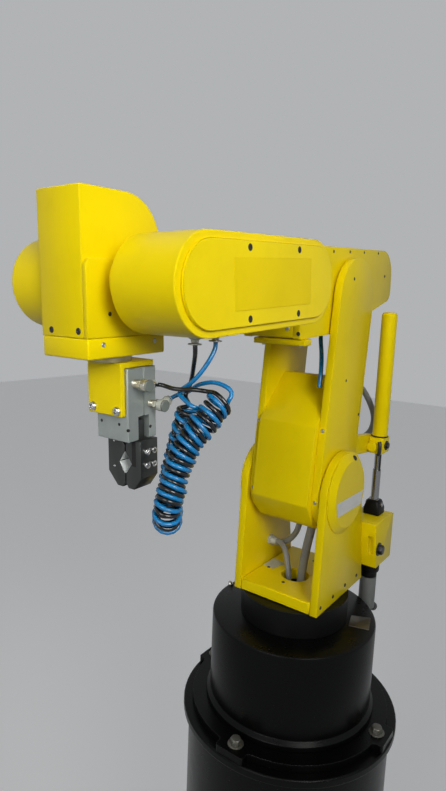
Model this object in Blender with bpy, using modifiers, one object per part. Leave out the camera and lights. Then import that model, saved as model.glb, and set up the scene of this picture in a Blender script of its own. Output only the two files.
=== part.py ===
"""A six-axis training robot arm with a ball-screw shoulder drive and an air gripper, on a round black pedestal.

Metres, +Z up. +X runs from the elbow to the wrist and +Y to the side where the wide forearm housing is.
The origin is on the floor, on the turntable's axis. The arm stands in its working pose: the upper arm
leans back a little, the forearm is almost level and the gripper hangs down.
"""

import math

import bmesh
import bpy
from mathutils import Euler, Matrix, Vector

# Fits
GAP = 0.0003  # between pieces that touch
RUNNING_GAP = 0.0005  # between faces that turn on each other
OVERRUN = 0.004  # how far a cutter runs past the piece it cuts
MERGE = 0.00001  # points closer than this are one point
SMOOTH_ANGLE = math.radians(35)

# Pedestal and base casting
PEDESTAL_HEIGHT = 0.760
FOOT_RADIUS = 0.205
FOOT_THICK = 0.012
COLUMN_RADIUS = 0.152
TOP_PLATE_RADIUS = 0.1605
TOP_PLATE_THICK = 0.012
FLANGE_THICK = 0.0100
FLANGE_LUG_MARGIN = 0.0020  # plate left around the lugs
FLANGE_LUG_REACH = TOP_PLATE_RADIUS - FLANGE_LUG_MARGIN
FLANGE_LUG_LENGTH = 0.0115
FLANGE_RADIUS = FLANGE_LUG_REACH - FLANGE_LUG_LENGTH
FLANGE_LUG_HALF_WIDTH = 0.022
FLANGE_LUG_ROUND = 0.004
CASTING_HEIGHT = 0.1327
CASTING_RADIUS = 0.121
CASTING_EDGE = 0.004
CASTING_FOOT_STEP = 0.005
CASTING_FOOT_RISE = 0.007
PLATE_EDGE = 0.0015
TURNED_STEPS = 72

# Turntable and the yellow bracket on it
TURNTABLE_RADIUS = 0.079
TURNTABLE_HEIGHT = 0.0375
TURNTABLE_EDGE = 0.002
CABLE_HOLE_RADIUS = 0.0205
BRACKET_FRONT = 0.0618
BRACKET_REAR = 0.0901
BRACKET_BASE_THICK = 0.0171
EAR_INNER = 0.0565
EAR_THICK = 0.0110
EAR_ROUND = 0.058
EAR_EDGE = 0.0012
SHOULDER_X = -0.0031
SHOULDER_Z = 0.1591
COVER_RADIUS = 0.057
COVER_FLAT_RADIUS = 0.047
COVER_RISE = 0.0080
COVER_RIM = 0.0015

# Upper arm
ARM_LENGTH = 0.2673
ARM_LEAN = math.radians(5.95)
ARM_PLATE_OUTER = 0.0540
ARM_PLATE_THICK = 0.0105
ARM_HALF_WIDTH = 0.0548
ARM_EDGE = 0.0018
BOSS_RADIUS = 0.030
MOTOR_COVER_REAR = 0.050
MOTOR_COVER_TOP = 0.159
MOTOR_COVER_TOP_FRONT = 0.0085
MOTOR_COVER_FRONT = 0.0640
MOTOR_COVER_FOLD = 0.0905
MOTOR_COVER_CORNER = 0.0170
MOTOR_COVER_BOTTOM = 0.0520
MOTOR_COVER_BOTTOM_FRONT = 0.036
MOTOR_COVER_FOLD_ROUND = 0.006
MOTOR_COVER_BOTTOM_ROUND = 0.022
MOTOR_COVER_EDGE = 0.001

# Screw drive of the shoulder, beside the bracket's rear edge
DRIVE_X = -0.1235
DRIVE_Y = 0.0660
DRIVE_BLOCK_BOTTOM = 0.0240
DRIVE_BLOCK_TOP = 0.0960
DRIVE_BLOCK_REAR = 0.1470
DRIVE_BLOCK_HALF_WIDTH = 0.0240
DRIVE_BLOCK_SLOT_WIDTH = 0.008
DRIVE_BLOCK_SLOT_HEIGHT = 0.030
DRIVE_BLOCK_SLOT_DEPTH = 0.006
SCREW_PIVOT_Z = 0.1120
NUT_PIVOT_Z = 0.2070
SCREW_RADIUS = 0.0050
SCREW_TOP = 0.2230  # above the screw's pivot
SCREW_SLEEVE_RADIUS = 0.0062
SCREW_SLEEVE_TOP = 0.0550
FORK_HALF_WIDTH = 0.0130
FORK_CHEEK_THICK = 0.0050
FORK_CHEEK_HEIGHT = 0.0150
FORK_ROUND = 0.008
SCREW_EYE_RADIUS = 0.0095
PIVOT_PIN_RADIUS = 0.0035
PIN_CLEARANCE = 0.0001
NUT_BORE_CLEARANCE = 0.0014
NUT_HALF_LENGTH = 0.0150
NUT_INNER = 0.0548
NUT_OUTER = 0.0770
NUT_HALF_HEIGHT = 0.0125
NUT_EDGE = 0.002
TRUNNION_RADIUS = 0.0080
LUG_HALF_HEIGHT = 0.0140
TUBE_RADIUS = 0.0115
TUBE_WALL = 0.0030
TUBE_TOP = 0.4090
TUBE_DOME = 0.0060
DRIVE_COLLAR_RADIUS = 0.0125
DRIVE_COLLAR_HEIGHT = 0.0170
DRIVE_NECK_RADIUS = 0.0095
DRIVE_NECK_HEIGHT = 0.0150
DRIVE_MOTOR_RADIUS = 0.0128
DRIVE_MOTOR_HEIGHT = 0.0520
DRIVE_PLUG_RADIUS = 0.0065
DRIVE_PLUG_LENGTH = 0.0160

# Elbow
FOREARM_PITCH = math.radians(4.07)
FOREARM_REACH = 0.3931
FOREARM_RISE = 0.0259
WRIST_OFFSET = -0.0110
ELBOW_OUTER = 0.0405
ELBOW_PLATE_THICK = 0.0095
ELBOW_FRONT = 0.1381
ELBOW_TOP = 0.0679
ELBOW_BOTTOM = 0.0441
ELBOW_REAR_CENTRE = 0.1199
ELBOW_REAR_ROUND = 0.0370
ELBOW_HEEL_X = 0.0400
ELBOW_HEEL_RISE = 0.0210
ELBOW_HEEL_REACH = 0.0360
ELBOW_CORE_INSET = 0.0012
ELBOW_FRONT_ROUND = 0.003
ELBOW_EDGE = 0.001
FOOT_PLATE_THICK = 0.0075
FOOT_PLATE_DEPTH = 0.0165
FOOT_PLATE_SET_BACK = 0.0030
FOOT_PLATE_RIGHT = -0.0280
FOOT_PLATE_LEFT = 0.0465
ROLL_SEAT_RADIUS = 0.0340
ROLL_SEAT_LENGTH = 0.0110

# Forearm yoke, measured from the wrist's centre
ROLL_FLANGE_RADIUS = 0.0360
ROLL_FLANGE_THICK = 0.0085
YOKE_BLOCK_FRONT = 0.1620
YOKE_BLOCK_HALF_HEIGHT = 0.0320
YOKE_BLOCK_EDGE = 0.004
ARM_SIDE_INNER = 0.0330
FOREARM_ROUND = 0.0410
FOREARM_HOUSING_LENGTH = 0.1683
NEAR_HOUSING_OUTER = 0.1135
FAR_HOUSING_OUTER = 0.0810
HOUSING_BEVEL = 0.0062
HOUSING_INNER_ROUND = 0.0100
SIDE_COVER_THICK = 0.0029
HOSE_PORT_X = (-0.0146, -0.0425)
HOSE_PORT_Y = 0.0860
HOSE_PORT_RADIUS = 0.0048
HOSE_PORT_COLLAR_RADIUS = 0.0058
HOSE_PORT_COLLAR_HEIGHT = 0.0030
HOSE_PORT_HEIGHT = 0.0075

# Hand, measured from the wrist's centre
HAND_PITCH = math.radians(2.40)
HAND_FRONT = 0.0483
HAND_REAR = 0.0410
HAND_TOP = 0.0752
HAND_TOP_ROUND = 0.0405
HAND_SPLIT = -0.0436
HAND_BOTTOM = -0.0608
HAND_RIGHT = -0.0288
HAND_COVER_LEFT = 0.0240
HAND_LEFT = 0.0291
HAND_EDGE = 0.0012
EAR_PLATE_TOP = 0.0197
EAR_PLATE_ROUND = 0.0070
WRIST_BOSS_RADIUS = 0.0240

# Tool, measured from the wrist's centre
TOOL_FLANGE_RADIUS = 0.0200
TOOL_FLANGE_THICK = 0.0058
ANGLE_THICK = 0.0050
ANGLE_FRONT = 0.0080
ANGLE_RIGHT = -0.0205
ANGLE_LEFT = 0.0225
ANGLE_BOTTOM = -0.1155
ANGLE_ROUND = 0.006
GRIPPER_DEPTH = 0.0360
GRIPPER_RIGHT = -0.0155
GRIPPER_LEFT = 0.0250
GRIPPER_BOTTOM = -0.1395
GRIPPER_EDGE = 0.0007
GRIPPER_CHANNEL_FRONT = 0.0128
GRIPPER_CHANNEL_WIDTH = 0.0140
GRIPPER_CHANNEL_TOP = -0.1175
GRIPPER_GROOVE_WIDTH = 0.0022
GRIPPER_GROOVE_DEPTH = 0.0012

# Fingers
FINGER_FRONT = -0.0052
FINGER_DEPTH = 0.0190
FINGER_TOP = -0.1412
FINGER_BOTTOM = -0.1895
FINGER_THICK = 0.0180
FINGER_CHAMFER = 0.0110
FINGER_EDGE = 0.0008
FINGER_SLIDE_CLEARANCE = 0.0006
FINGER_SLIDE_HEIGHT = 0.0180
GRIP_CENTRE = 0.0065
GRIP_HALF_GAP = 0.0050
PAD_THICK = 0.0040
PAD_TOP = -0.1600
PAD_BOTTOM = -0.1850
PAD_NOTCH_DEPTH = 0.0030
PAD_NOTCH_HALF_HEIGHT = 0.0065

# Elbow fittings for air on the gripper
UPPER_FITTING_X = -0.0060
UPPER_FITTING_Z = -0.0865
UPPER_OUTLET_LENGTH = 0.0110
UPPER_OUTLET_RISE = math.radians(0)
LOWER_FITTING_X = -0.0262
LOWER_FITTING_Z = -0.1075
LOWER_OUTLET_LENGTH = 0.0085
LOWER_OUTLET_RISE = math.radians(14)
FITTING_STEM_RADIUS = 0.0042
FITTING_STEM_LENGTH = 0.0110
FITTING_CAP_RADIUS = 0.0052
FITTING_CAP_LENGTH = 0.0080
FITTING_OUTLET_RADIUS = 0.0036

# Air hoses, relative to the wrist's centre: two hoses leave the forearm, run side by side through
# the same coil, which hangs in a loop, and go on to the gripper's fittings
HOSE_RADIUS = 0.0020
HOSE_SPACING = 0.0080
COIL_RADIUS = 0.0125
COIL_SPACING = 0.0080
COIL_ROUTE = [
    (-0.0436, 0.0980, -0.0944),
    (-0.0342, 0.0948, -0.1044),
    (-0.0258, 0.0908, -0.1166),
    (-0.0175, 0.0848, -0.1285),
    (-0.0106, 0.0807, -0.1420),
    (-0.0058, 0.0789, -0.1600),
    (-0.0005, 0.0780, -0.1740),
    (0.0022, 0.0780, -0.1840),
    (-0.0016, 0.0749, -0.1959),
    (-0.0109, 0.0674, -0.2009),
    (-0.0202, 0.0599, -0.1959),
    (-0.0240, 0.0568, -0.1840),
    (-0.0295, 0.0560, -0.1710),
    (-0.0345, 0.0560, -0.1530),
    (-0.0377, 0.0595, -0.1310),
    (-0.0380, 0.0657, -0.1137),
    (-0.0397, 0.0664, -0.1025),
]
FRONT_PORT_ROUTE = [
    (-0.01805, 0.0860, -0.0480),
    (-0.0186, 0.0860, -0.0550),
    (-0.0280, 0.0770, -0.0668),
    (-0.0403, 0.0650, -0.0802),
    (-0.0408, 0.0615, -0.0896),
    (-0.0374, 0.0605, -0.0957),
    (-0.0358, 0.0599, -0.0985),
    (-0.0354, 0.0594, -0.1003),
]
REAR_PORT_ROUTE = [
    (-0.0459, 0.0860, -0.0461),
    (-0.0463, 0.0860, -0.0510),
    (-0.0409, 0.0840, -0.0617),
    (-0.0365, 0.0780, -0.0733),
    (-0.0344, 0.0700, -0.0823),
    (-0.0358, 0.0600, -0.0882),
    (-0.0340, 0.0560, -0.0937),
    (-0.0330, 0.0557, -0.0963),
    (-0.0325, 0.0552, -0.0983),
]
UPPER_FITTING_ROUTE = [
    (-0.0379, 0.0862, -0.0889),
    (-0.0341, 0.0805, -0.0880),
    (-0.0317, 0.0730, -0.0880),
    (-0.0302, 0.0640, -0.0887),
    (-0.0272, 0.0550, -0.0889),
]
LOWER_FITTING_ROUTE = [
    (-0.0457, 0.1019, -0.0961),
    (-0.0479, 0.1031, -0.0932),
    (-0.0505, 0.1030, -0.0885),
    (-0.0490, 0.0990, -0.0850),
    (-0.0494, 0.0910, -0.0828),
    (-0.0492, 0.0810, -0.0821),
    (-0.0501, 0.0670, -0.0856),
    (-0.0530, 0.0570, -0.0902),
    (-0.0520, 0.0535, -0.0938),
    (-0.0505, 0.0520, -0.0962),
]

# Motor cables: two come up through the turntable, one loops behind the upper arm
THICK_CABLE_RADIUS = 0.0050
THIN_CABLE_RADIUS = 0.0025
CABLE_SPACING = 0.0150
THICK_CABLE_ROUTE = [
    (0.0, 0.0086, -0.0187),
    (0.0, 0.0086, 0.0),
    (0.0, 0.0090, 0.0200),
    (-0.0003, 0.0110, 0.0450),
    (0.0, 0.0140, 0.0700),
    (0.0005, 0.0190, 0.0900),
]
THIN_CABLE_ROUTE = [
    (0.0, -0.0100, -0.0187),
    (0.0, -0.0100, 0.0),
    (0.0, -0.0120, 0.0200),
    (0.0, -0.0200, 0.0400),
    (0.0001, -0.0260, 0.0600),
    (0.0020, -0.0280, 0.0900),
]
LOOP_CABLE_RADIUS = 0.0036
LOOP_CABLE_ROUTE = [
    (-0.0505, 0.0340, 0.1470),
    (-0.0620, 0.0340, 0.1470),
    (-0.0879, 0.0380, 0.1439),
    (-0.1217, 0.0410, 0.1212),
    (-0.1443, 0.0415, 0.0964),
    (-0.1393, 0.0395, 0.0748),
    (-0.1032, 0.0350, 0.0620),
    (-0.0620, 0.0340, 0.0580),
    (-0.0505, 0.0340, 0.0580),
]

ARC_STEPS = 6  # points along a quarter turn of a small round
WIDE_ARC_STEPS = 10  # and of a wide one
ROUND_SIDES = 32
WIDE_ROUND_SIDES = 48


def clear_scene():
    for found in list(bpy.data.objects):
        bpy.data.objects.remove(found, do_unlink=True)


def new_collection(name):
    made = bpy.data.collections.new(name)
    bpy.context.scene.collection.children.link(made)
    return made


clear_scene()
ROBOT = new_collection("robot_arm")
CUTTERS = new_collection("cutters")


def paint(name, colour, roughness, metallic=0.0):
    made = bpy.data.materials.new(name)
    made.use_nodes = True
    shader = made.node_tree.nodes["Principled BSDF"]
    shader.inputs["Base Color"].default_value = (*colour, 1.0)
    shader.inputs["Roughness"].default_value = roughness
    shader.inputs["Metallic"].default_value = metallic
    made.diffuse_color = (*colour, 1.0)
    return made


YELLOW = paint("yellow_enamel", (0.83, 0.60, 0.012), 0.35)
BLACK = paint("black_enamel", (0.012, 0.013, 0.012), 0.38)
ALUMINIUM = paint("aluminium", (0.60, 0.62, 0.63), 0.38, 1.0)
STEEL = paint("dark_steel", (0.10, 0.10, 0.10), 0.42, 0.9)
CHROME = paint("chrome", (0.62, 0.62, 0.62), 0.15, 1.0)
BRASS = paint("nickelled_brass", (0.66, 0.60, 0.45), 0.30, 1.0)
GREY_PLASTIC = paint("grey_plastic", (0.33, 0.35, 0.33), 0.50)
BLUE_HOSE = paint("blue_hose", (0.010, 0.13, 0.36), 0.30)
BLACK_HOSE = paint("black_hose", (0.012, 0.012, 0.013), 0.35)
BLACK_PLASTIC = paint("black_plastic", (0.015, 0.015, 0.016), 0.45)


def joint_frame(name, parent, location, pitch=0.0):
    """An empty on a joint's axis; a positive pitch turns its +X downward."""
    made = bpy.data.objects.new(name, None)
    made.empty_display_size = ARM_HALF_WIDTH
    made.parent = parent
    made.location = location
    made.rotation_euler = Euler((0.0, pitch, 0.0))
    ROBOT.objects.link(made)
    return made


def turned_in_side_view(x, z, angle):
    """A point of a side view seen from a frame that is pitched down by the angle."""
    return x * math.cos(angle) - z * math.sin(angle), x * math.sin(angle) + z * math.cos(angle)


TURRET_Z = PEDESTAL_HEIGHT + GAP + FLANGE_THICK + GAP + CASTING_HEIGHT + RUNNING_GAP + TURNTABLE_HEIGHT + GAP
turret = joint_frame("turret_axis", None, (0.0, 0.0, TURRET_Z))
shoulder = joint_frame("shoulder_axis", turret, (SHOULDER_X, 0.0, SHOULDER_Z), -ARM_LEAN)
elbow = joint_frame("elbow_axis", shoulder, (0.0, 0.0, ARM_LENGTH), ARM_LEAN + FOREARM_PITCH)
forearm = joint_frame("forearm_roll_axis", elbow, (FOREARM_REACH, WRIST_OFFSET, FOREARM_RISE))
wrist = joint_frame("wrist_axis", forearm, (0.0, 0.0, 0.0), HAND_PITCH - FOREARM_PITCH)
tool = joint_frame("tool_axis", wrist, (0.0, 0.0, 0.0))
left_slide = joint_frame("left_finger_slide", tool, (0.0, GRIP_CENTRE + GRIP_HALF_GAP, FINGER_TOP))
right_slide = joint_frame("right_finger_slide", tool, (0.0, GRIP_CENTRE - GRIP_HALF_GAP, FINGER_TOP))
screw = joint_frame("screw_axis", turret, (DRIVE_X, DRIVE_Y, SCREW_PIVOT_Z))
NUT_X, NUT_Z = turned_in_side_view(DRIVE_X - SHOULDER_X, NUT_PIVOT_Z - SHOULDER_Z, -ARM_LEAN)
nut = joint_frame("nut_axis", shoulder, (NUT_X, DRIVE_Y, NUT_Z), ARM_LEAN)


def place(name, mesh, colour, parent, location=(0.0, 0.0, 0.0), rotation=(0.0, 0.0, 0.0)):
    made = bpy.data.objects.new(name, mesh)
    made.parent = parent
    made.location = location
    made.rotation_euler = Euler(rotation)
    if colour is None:
        CUTTERS.objects.link(made)
        made.hide_render = True
        made.display_type = "WIRE"
        return made
    mesh.materials.append(colour)
    ROBOT.objects.link(made)
    return made


def smooth(made):
    made.data.shade_smooth()
    made.data.set_sharp_from_angle(angle=SMOOTH_ANGLE)
    return made


def bevel(made, width, segments=2, angle=math.radians(40)):
    added = made.modifiers.new("edges", "BEVEL")
    added.width = width
    added.segments = segments
    added.limit_method = "ANGLE"
    added.angle_limit = angle
    added.miter_outer = "MITER_SHARP"
    return made


def cut(made, cutter):
    added = made.modifiers.new("cut " + cutter.name, "BOOLEAN")
    added.operation = "DIFFERENCE"
    added.solver = "EXACT"
    added.object = cutter
    return made


def join(made, other):
    """Adds a second solid to a piece: the other shape is kept as a hidden guide."""
    added = made.modifiers.new("join " + other.name, "BOOLEAN")
    added.operation = "UNION"
    added.solver = "EXACT"
    added.object = other
    return made


def box(name, low, high, colour, parent):
    """A box between two corners, centred on its own origin."""
    size = [b - a for a, b in zip(low, high)]
    centre = [(a + b) / 2 for a, b in zip(low, high)]
    shape = bmesh.new()
    bmesh.ops.create_cube(shape, size=1.0, matrix=Matrix.Diagonal((*size, 1.0)))
    mesh = bpy.data.meshes.new(name)
    shape.to_mesh(mesh)
    shape.free()
    return place(name, mesh, colour, parent, centre)


AXIS_TURNS = {
    "X": (0.0, math.pi / 2, 0.0),
    "Y": (-math.pi / 2, 0.0, 0.0),
    "Z": (0.0, 0.0, 0.0),
}


def rod(name, start, length, radius, colour, parent, axis="Z", end_radius=None, sides=ROUND_SIDES):
    """A cylinder or cone that runs from its start along the positive axis."""
    shape = bmesh.new()
    bmesh.ops.create_cone(
        shape,
        cap_ends=True,
        segments=sides,
        radius1=radius,
        radius2=radius if end_radius is None else end_radius,
        depth=length,
        matrix=Matrix.Translation((0.0, 0.0, length / 2)),
    )
    mesh = bpy.data.meshes.new(name)
    shape.to_mesh(mesh)
    shape.free()
    return smooth(place(name, mesh, colour, parent, start, AXIS_TURNS[axis]))


def turned(name, profile, colour, parent, location=(0.0, 0.0, 0.0), steps=TURNED_STEPS):
    """A profile of (radius, height) points, from top to bottom, turned about the vertical axis."""
    mesh = bpy.data.meshes.new(name)
    points = [(radius, 0.0, height) for radius, height in profile]
    mesh.from_pydata(points, [(i, i + 1) for i in range(len(points) - 1)], [])
    made = place(name, mesh, colour, parent, location)
    turn = made.modifiers.new("turn", "SCREW")
    turn.axis = "Z"
    turn.angle = math.tau
    turn.steps = steps
    turn.render_steps = steps
    turn.use_merge_vertices = True
    turn.merge_threshold = MERGE
    turn.use_smooth_shade = False
    return made


def rounded(corners, quarter_steps=ARC_STEPS):
    """The points of a closed outline whose corners, given as (across, up, radius), are rounded by arcs."""
    points = []
    for i, (across, up, radius) in enumerate(corners):
        here = Vector((across, up))
        if radius == 0:
            points.append(here)
            continue
        before = (Vector(corners[i - 1][:2]) - here).normalized()
        after = (Vector(corners[(i + 1) % len(corners)][:2]) - here).normalized()
        half = before.angle(after) / 2
        centre = here + (before + after).normalized() * (radius / math.sin(half))
        start = here + before * (radius / math.tan(half)) - centre
        turn = math.pi - 2 * half
        if before.x * after.y - before.y * after.x > 0:
            turn = -turn
        steps = max(1, math.ceil(abs(turn) / (math.pi / 2) * quarter_steps))
        points += [centre + Matrix.Rotation(turn * k / steps, 2) @ start for k in range(steps + 1)]
    kept = []
    for point in points:
        if not kept or (point - kept[-1]).length > MERGE:
            kept.append(point)
    if (kept[0] - kept[-1]).length < MERGE:
        kept.pop()
    return kept


def extruded(name, outline, thickness, colour, parent, location=(0.0, 0.0, 0.0), flat=False):
    """An outline with a thickness, centred on its location.

    The outline lies in the side view (X and Z) and the thickness runs along Y; a flat one lies in X and Y.
    """
    curve = bpy.data.curves.new(name + " outline", "CURVE")
    curve.dimensions = "2D"
    curve.fill_mode = "BOTH"
    curve.extrude = thickness / 2
    spline = curve.splines.new("POLY")
    spline.points.add(len(outline) - 1)
    for point, (across, up) in zip(spline.points, outline):
        point.co = (across, up, 0.0, 1.0)
    spline.use_cyclic_u = True
    drawn = bpy.data.objects.new(name + " outline", curve)
    ROBOT.objects.link(drawn)
    drawn.rotation_euler = Euler((0.0 if flat else math.pi / 2, 0.0, 0.0))
    bpy.context.view_layer.update()
    seen = drawn.evaluated_get(bpy.context.evaluated_depsgraph_get())
    mesh = bpy.data.meshes.new_from_object(seen)
    shape = bmesh.new()
    shape.from_mesh(mesh)
    bmesh.ops.remove_doubles(shape, verts=shape.verts, dist=MERGE)
    bmesh.ops.recalc_face_normals(shape, faces=shape.faces)
    shape.transform(drawn.matrix_world.to_3x3().to_4x4())
    shape.to_mesh(mesh)
    shape.free()
    mesh.name = name
    bpy.data.objects.remove(drawn, do_unlink=True)
    return place(name, mesh, colour, parent, location)


def smooth_route(points, spacing):
    """Points about this far apart on a smooth curve through the route's own points."""
    route = [Vector(point) for point in points]
    padded = [2 * route[0] - route[1]] + route + [2 * route[-1] - route[-2]]
    smoothed = [route[0]]
    for before, start, end, after in zip(padded, padded[1:], padded[2:], padded[3:]):
        steps = max(1, round((end - start).length / spacing))
        leave = (end - before) / 2
        arrive = (after - start) / 2
        for step in range(1, steps + 1):
            t = step / steps
            t2 = t * t
            t3 = t2 * t
            smoothed.append(
                start * (2 * t3 - 3 * t2 + 1)
                + leave * (t3 - 2 * t2 + t)
                + end * (3 * t2 - 2 * t3)
                + arrive * (t3 - t2)
            )
    return smoothed


def tube(name, points, radius, colour, parent, spacing, bevel_resolution=2):
    """A round tube along a smooth curve through the points."""
    curve = bpy.data.curves.new(name, "CURVE")
    curve.dimensions = "3D"
    curve.bevel_depth = radius
    curve.bevel_resolution = bevel_resolution
    curve.use_fill_caps = True
    route = smooth_route(points, spacing)
    spline = curve.splines.new("POLY")
    spline.points.add(len(route) - 1)
    for point, place_on_route in zip(spline.points, route):
        point.co = (*place_on_route, 1.0)
    spline.use_smooth = True
    curve.materials.append(colour)
    made = bpy.data.objects.new(name, curve)
    made.parent = parent
    ROBOT.objects.link(made)
    return made


def between(low, high):
    return (low + high) / 2


def slot_outline(rear, front, radius, quarter_steps=WIDE_ARC_STEPS):
    """Two half circles joined by straight edges, between two centres on the X axis."""
    return rounded(
        [
            (rear - radius, -radius, radius),
            (front + radius, -radius, radius),
            (front + radius, radius, radius),
            (rear - radius, radius, radius),
        ],
        quarter_steps,
    )


# Pedestal


def build_pedestal():
    rod("pedestal_foot", (0.0, 0.0, 0.0), FOOT_THICK, FOOT_RADIUS, BLACK, None, sides=WIDE_ROUND_SIDES)
    column_height = PEDESTAL_HEIGHT - FOOT_THICK - TOP_PLATE_THICK - 2 * GAP
    start = (0.0, 0.0, FOOT_THICK + GAP)
    rod("pedestal_column", start, column_height, COLUMN_RADIUS, BLACK, None, sides=TURNED_STEPS)
    turned(
        "pedestal_top_plate",
        [
            (0.0, 0.0),
            (TOP_PLATE_RADIUS - PLATE_EDGE, 0.0),
            (TOP_PLATE_RADIUS, -PLATE_EDGE),
            (TOP_PLATE_RADIUS, PLATE_EDGE - TOP_PLATE_THICK),
            (TOP_PLATE_RADIUS - PLATE_EDGE, -TOP_PLATE_THICK),
            (0.0, -TOP_PLATE_THICK),
        ],
        BLACK,
        None,
        (0.0, 0.0, PEDESTAL_HEIGHT),
    )


# Base casting


def flange_outline():
    """A round flange with four square lugs, one on each axis."""
    lug_angle = math.asin(FLANGE_LUG_HALF_WIDTH / FLANGE_RADIUS)
    span = math.pi / 2 - 2 * lug_angle
    corners = []
    for quarter in range(4):
        turn = Matrix.Rotation(quarter * math.pi / 2, 2)
        for side in (-1, 1):
            corner = turn @ Vector((FLANGE_LUG_REACH, side * FLANGE_LUG_HALF_WIDTH))
            corners.append((corner.x, corner.y, FLANGE_LUG_ROUND))
        for step in range(WIDE_ARC_STEPS + 1):
            angle = quarter * math.pi / 2 + lug_angle + span * step / WIDE_ARC_STEPS
            inner_round = FLANGE_LUG_ROUND if step in (0, WIDE_ARC_STEPS) else 0.0
            corners.append((FLANGE_RADIUS * math.cos(angle), FLANGE_RADIUS * math.sin(angle), inner_round))
    return rounded(corners)


def build_base():
    flange_z = PEDESTAL_HEIGHT + GAP + FLANGE_THICK / 2
    flange = extruded("base_flange", flange_outline(), FLANGE_THICK, BLACK, None, (0.0, 0.0, flange_z), flat=True)
    bevel(flange, PLATE_EDGE, segments=1)
    bottom = PEDESTAL_HEIGHT + GAP + FLANGE_THICK + GAP
    turned(
        "base_casting",
        [
            (0.0, CASTING_HEIGHT),
            (CASTING_RADIUS - CASTING_EDGE, CASTING_HEIGHT),
            (CASTING_RADIUS - CASTING_EDGE / 4, CASTING_HEIGHT - CASTING_EDGE / 4),
            (CASTING_RADIUS, CASTING_HEIGHT - CASTING_EDGE),
            (CASTING_RADIUS, CASTING_FOOT_RISE + CASTING_FOOT_STEP),
            (CASTING_RADIUS + CASTING_FOOT_STEP, CASTING_FOOT_RISE),
            (CASTING_RADIUS + CASTING_FOOT_STEP, 0.0),
            (0.0, 0.0),
        ],
        BLACK,
        None,
        (0.0, 0.0, bottom),
    )


# Turntable and bracket


def tangent_reach(reach):
    """How far from the shoulder an edge that starts at this reach on the base meets the level of the ear's top.

    The edge touches the ear's round, so the corner there can be rounded by the full radius.
    """
    slant = math.sqrt(reach**2 + SHOULDER_Z**2 - EAR_ROUND**2)
    return EAR_ROUND * (SHOULDER_Z + EAR_ROUND) / (slant + reach)


EAR_TOP_FRONT = SHOULDER_X + tangent_reach(BRACKET_FRONT - SHOULDER_X)
EAR_TOP_REAR = SHOULDER_X - tangent_reach(BRACKET_REAR + SHOULDER_X)


def ear_outline():
    """The side of the bracket: straight edges from the base that close on the round about the shoulder."""
    top = SHOULDER_Z + EAR_ROUND
    return rounded(
        [
            (-BRACKET_REAR, 0.0, 0.0),
            (BRACKET_FRONT, 0.0, 0.0),
            (EAR_TOP_FRONT, top, EAR_ROUND),
            (EAR_TOP_REAR, top, EAR_ROUND),
        ],
        WIDE_ARC_STEPS,
    )


def ear_rear_x(height):
    """Where the ear's straight rear edge is at a height above the bracket's bottom."""
    return -BRACKET_REAR + (EAR_TOP_REAR + BRACKET_REAR) * height / (SHOULDER_Z + EAR_ROUND)


def build_turret():
    top = -GAP
    rod(
        "turntable",
        (0.0, 0.0, top - TURNTABLE_HEIGHT),
        TURNTABLE_HEIGHT,
        TURNTABLE_RADIUS,
        BLACK,
        turret,
        sides=TURNED_STEPS,
    )
    well = rod(
        "turntable cable well",
        (0.0, 0.0, top - TURNTABLE_HEIGHT / 2),
        TURNTABLE_HEIGHT,
        CABLE_HOLE_RADIUS,
        None,
        turret,
    )
    cut(bpy.data.objects["turntable"], well)
    side = EAR_INNER - GAP
    base = box(
        "bracket_base",
        (-BRACKET_REAR, -side, 0.0),
        (BRACKET_FRONT, side, BRACKET_BASE_THICK),
        YELLOW,
        turret,
    )
    hole = rod(
        "bracket cable hole",
        (0.0, 0.0, -OVERRUN),
        BRACKET_BASE_THICK + 2 * OVERRUN,
        CABLE_HOLE_RADIUS,
        None,
        turret,
    )
    bevel(base, EAR_EDGE, segments=1)
    cut(base, hole)
    for name, sign in (("left", 1), ("right", -1)):
        centre = sign * (EAR_INNER + EAR_THICK / 2)
        ear = extruded(f"bracket_{name}_ear", ear_outline(), EAR_THICK, YELLOW, turret, (0.0, centre, 0.0))
        bevel(ear, EAR_EDGE)
        face = EAR_INNER + EAR_THICK + GAP
        cover = turned(
            f"shoulder_{name}_cover",
            [
                (0.0, COVER_RISE),
                (COVER_FLAT_RADIUS, COVER_RISE),
                (COVER_RADIUS, COVER_RIM),
                (COVER_RADIUS, 0.0),
                (0.0, 0.0),
            ],
            YELLOW,
            turret,
            (SHOULDER_X, sign * face, SHOULDER_Z),
        )
        cover.rotation_euler = Euler((-sign * math.pi / 2, 0.0, 0.0))


# Screw drive


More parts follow.
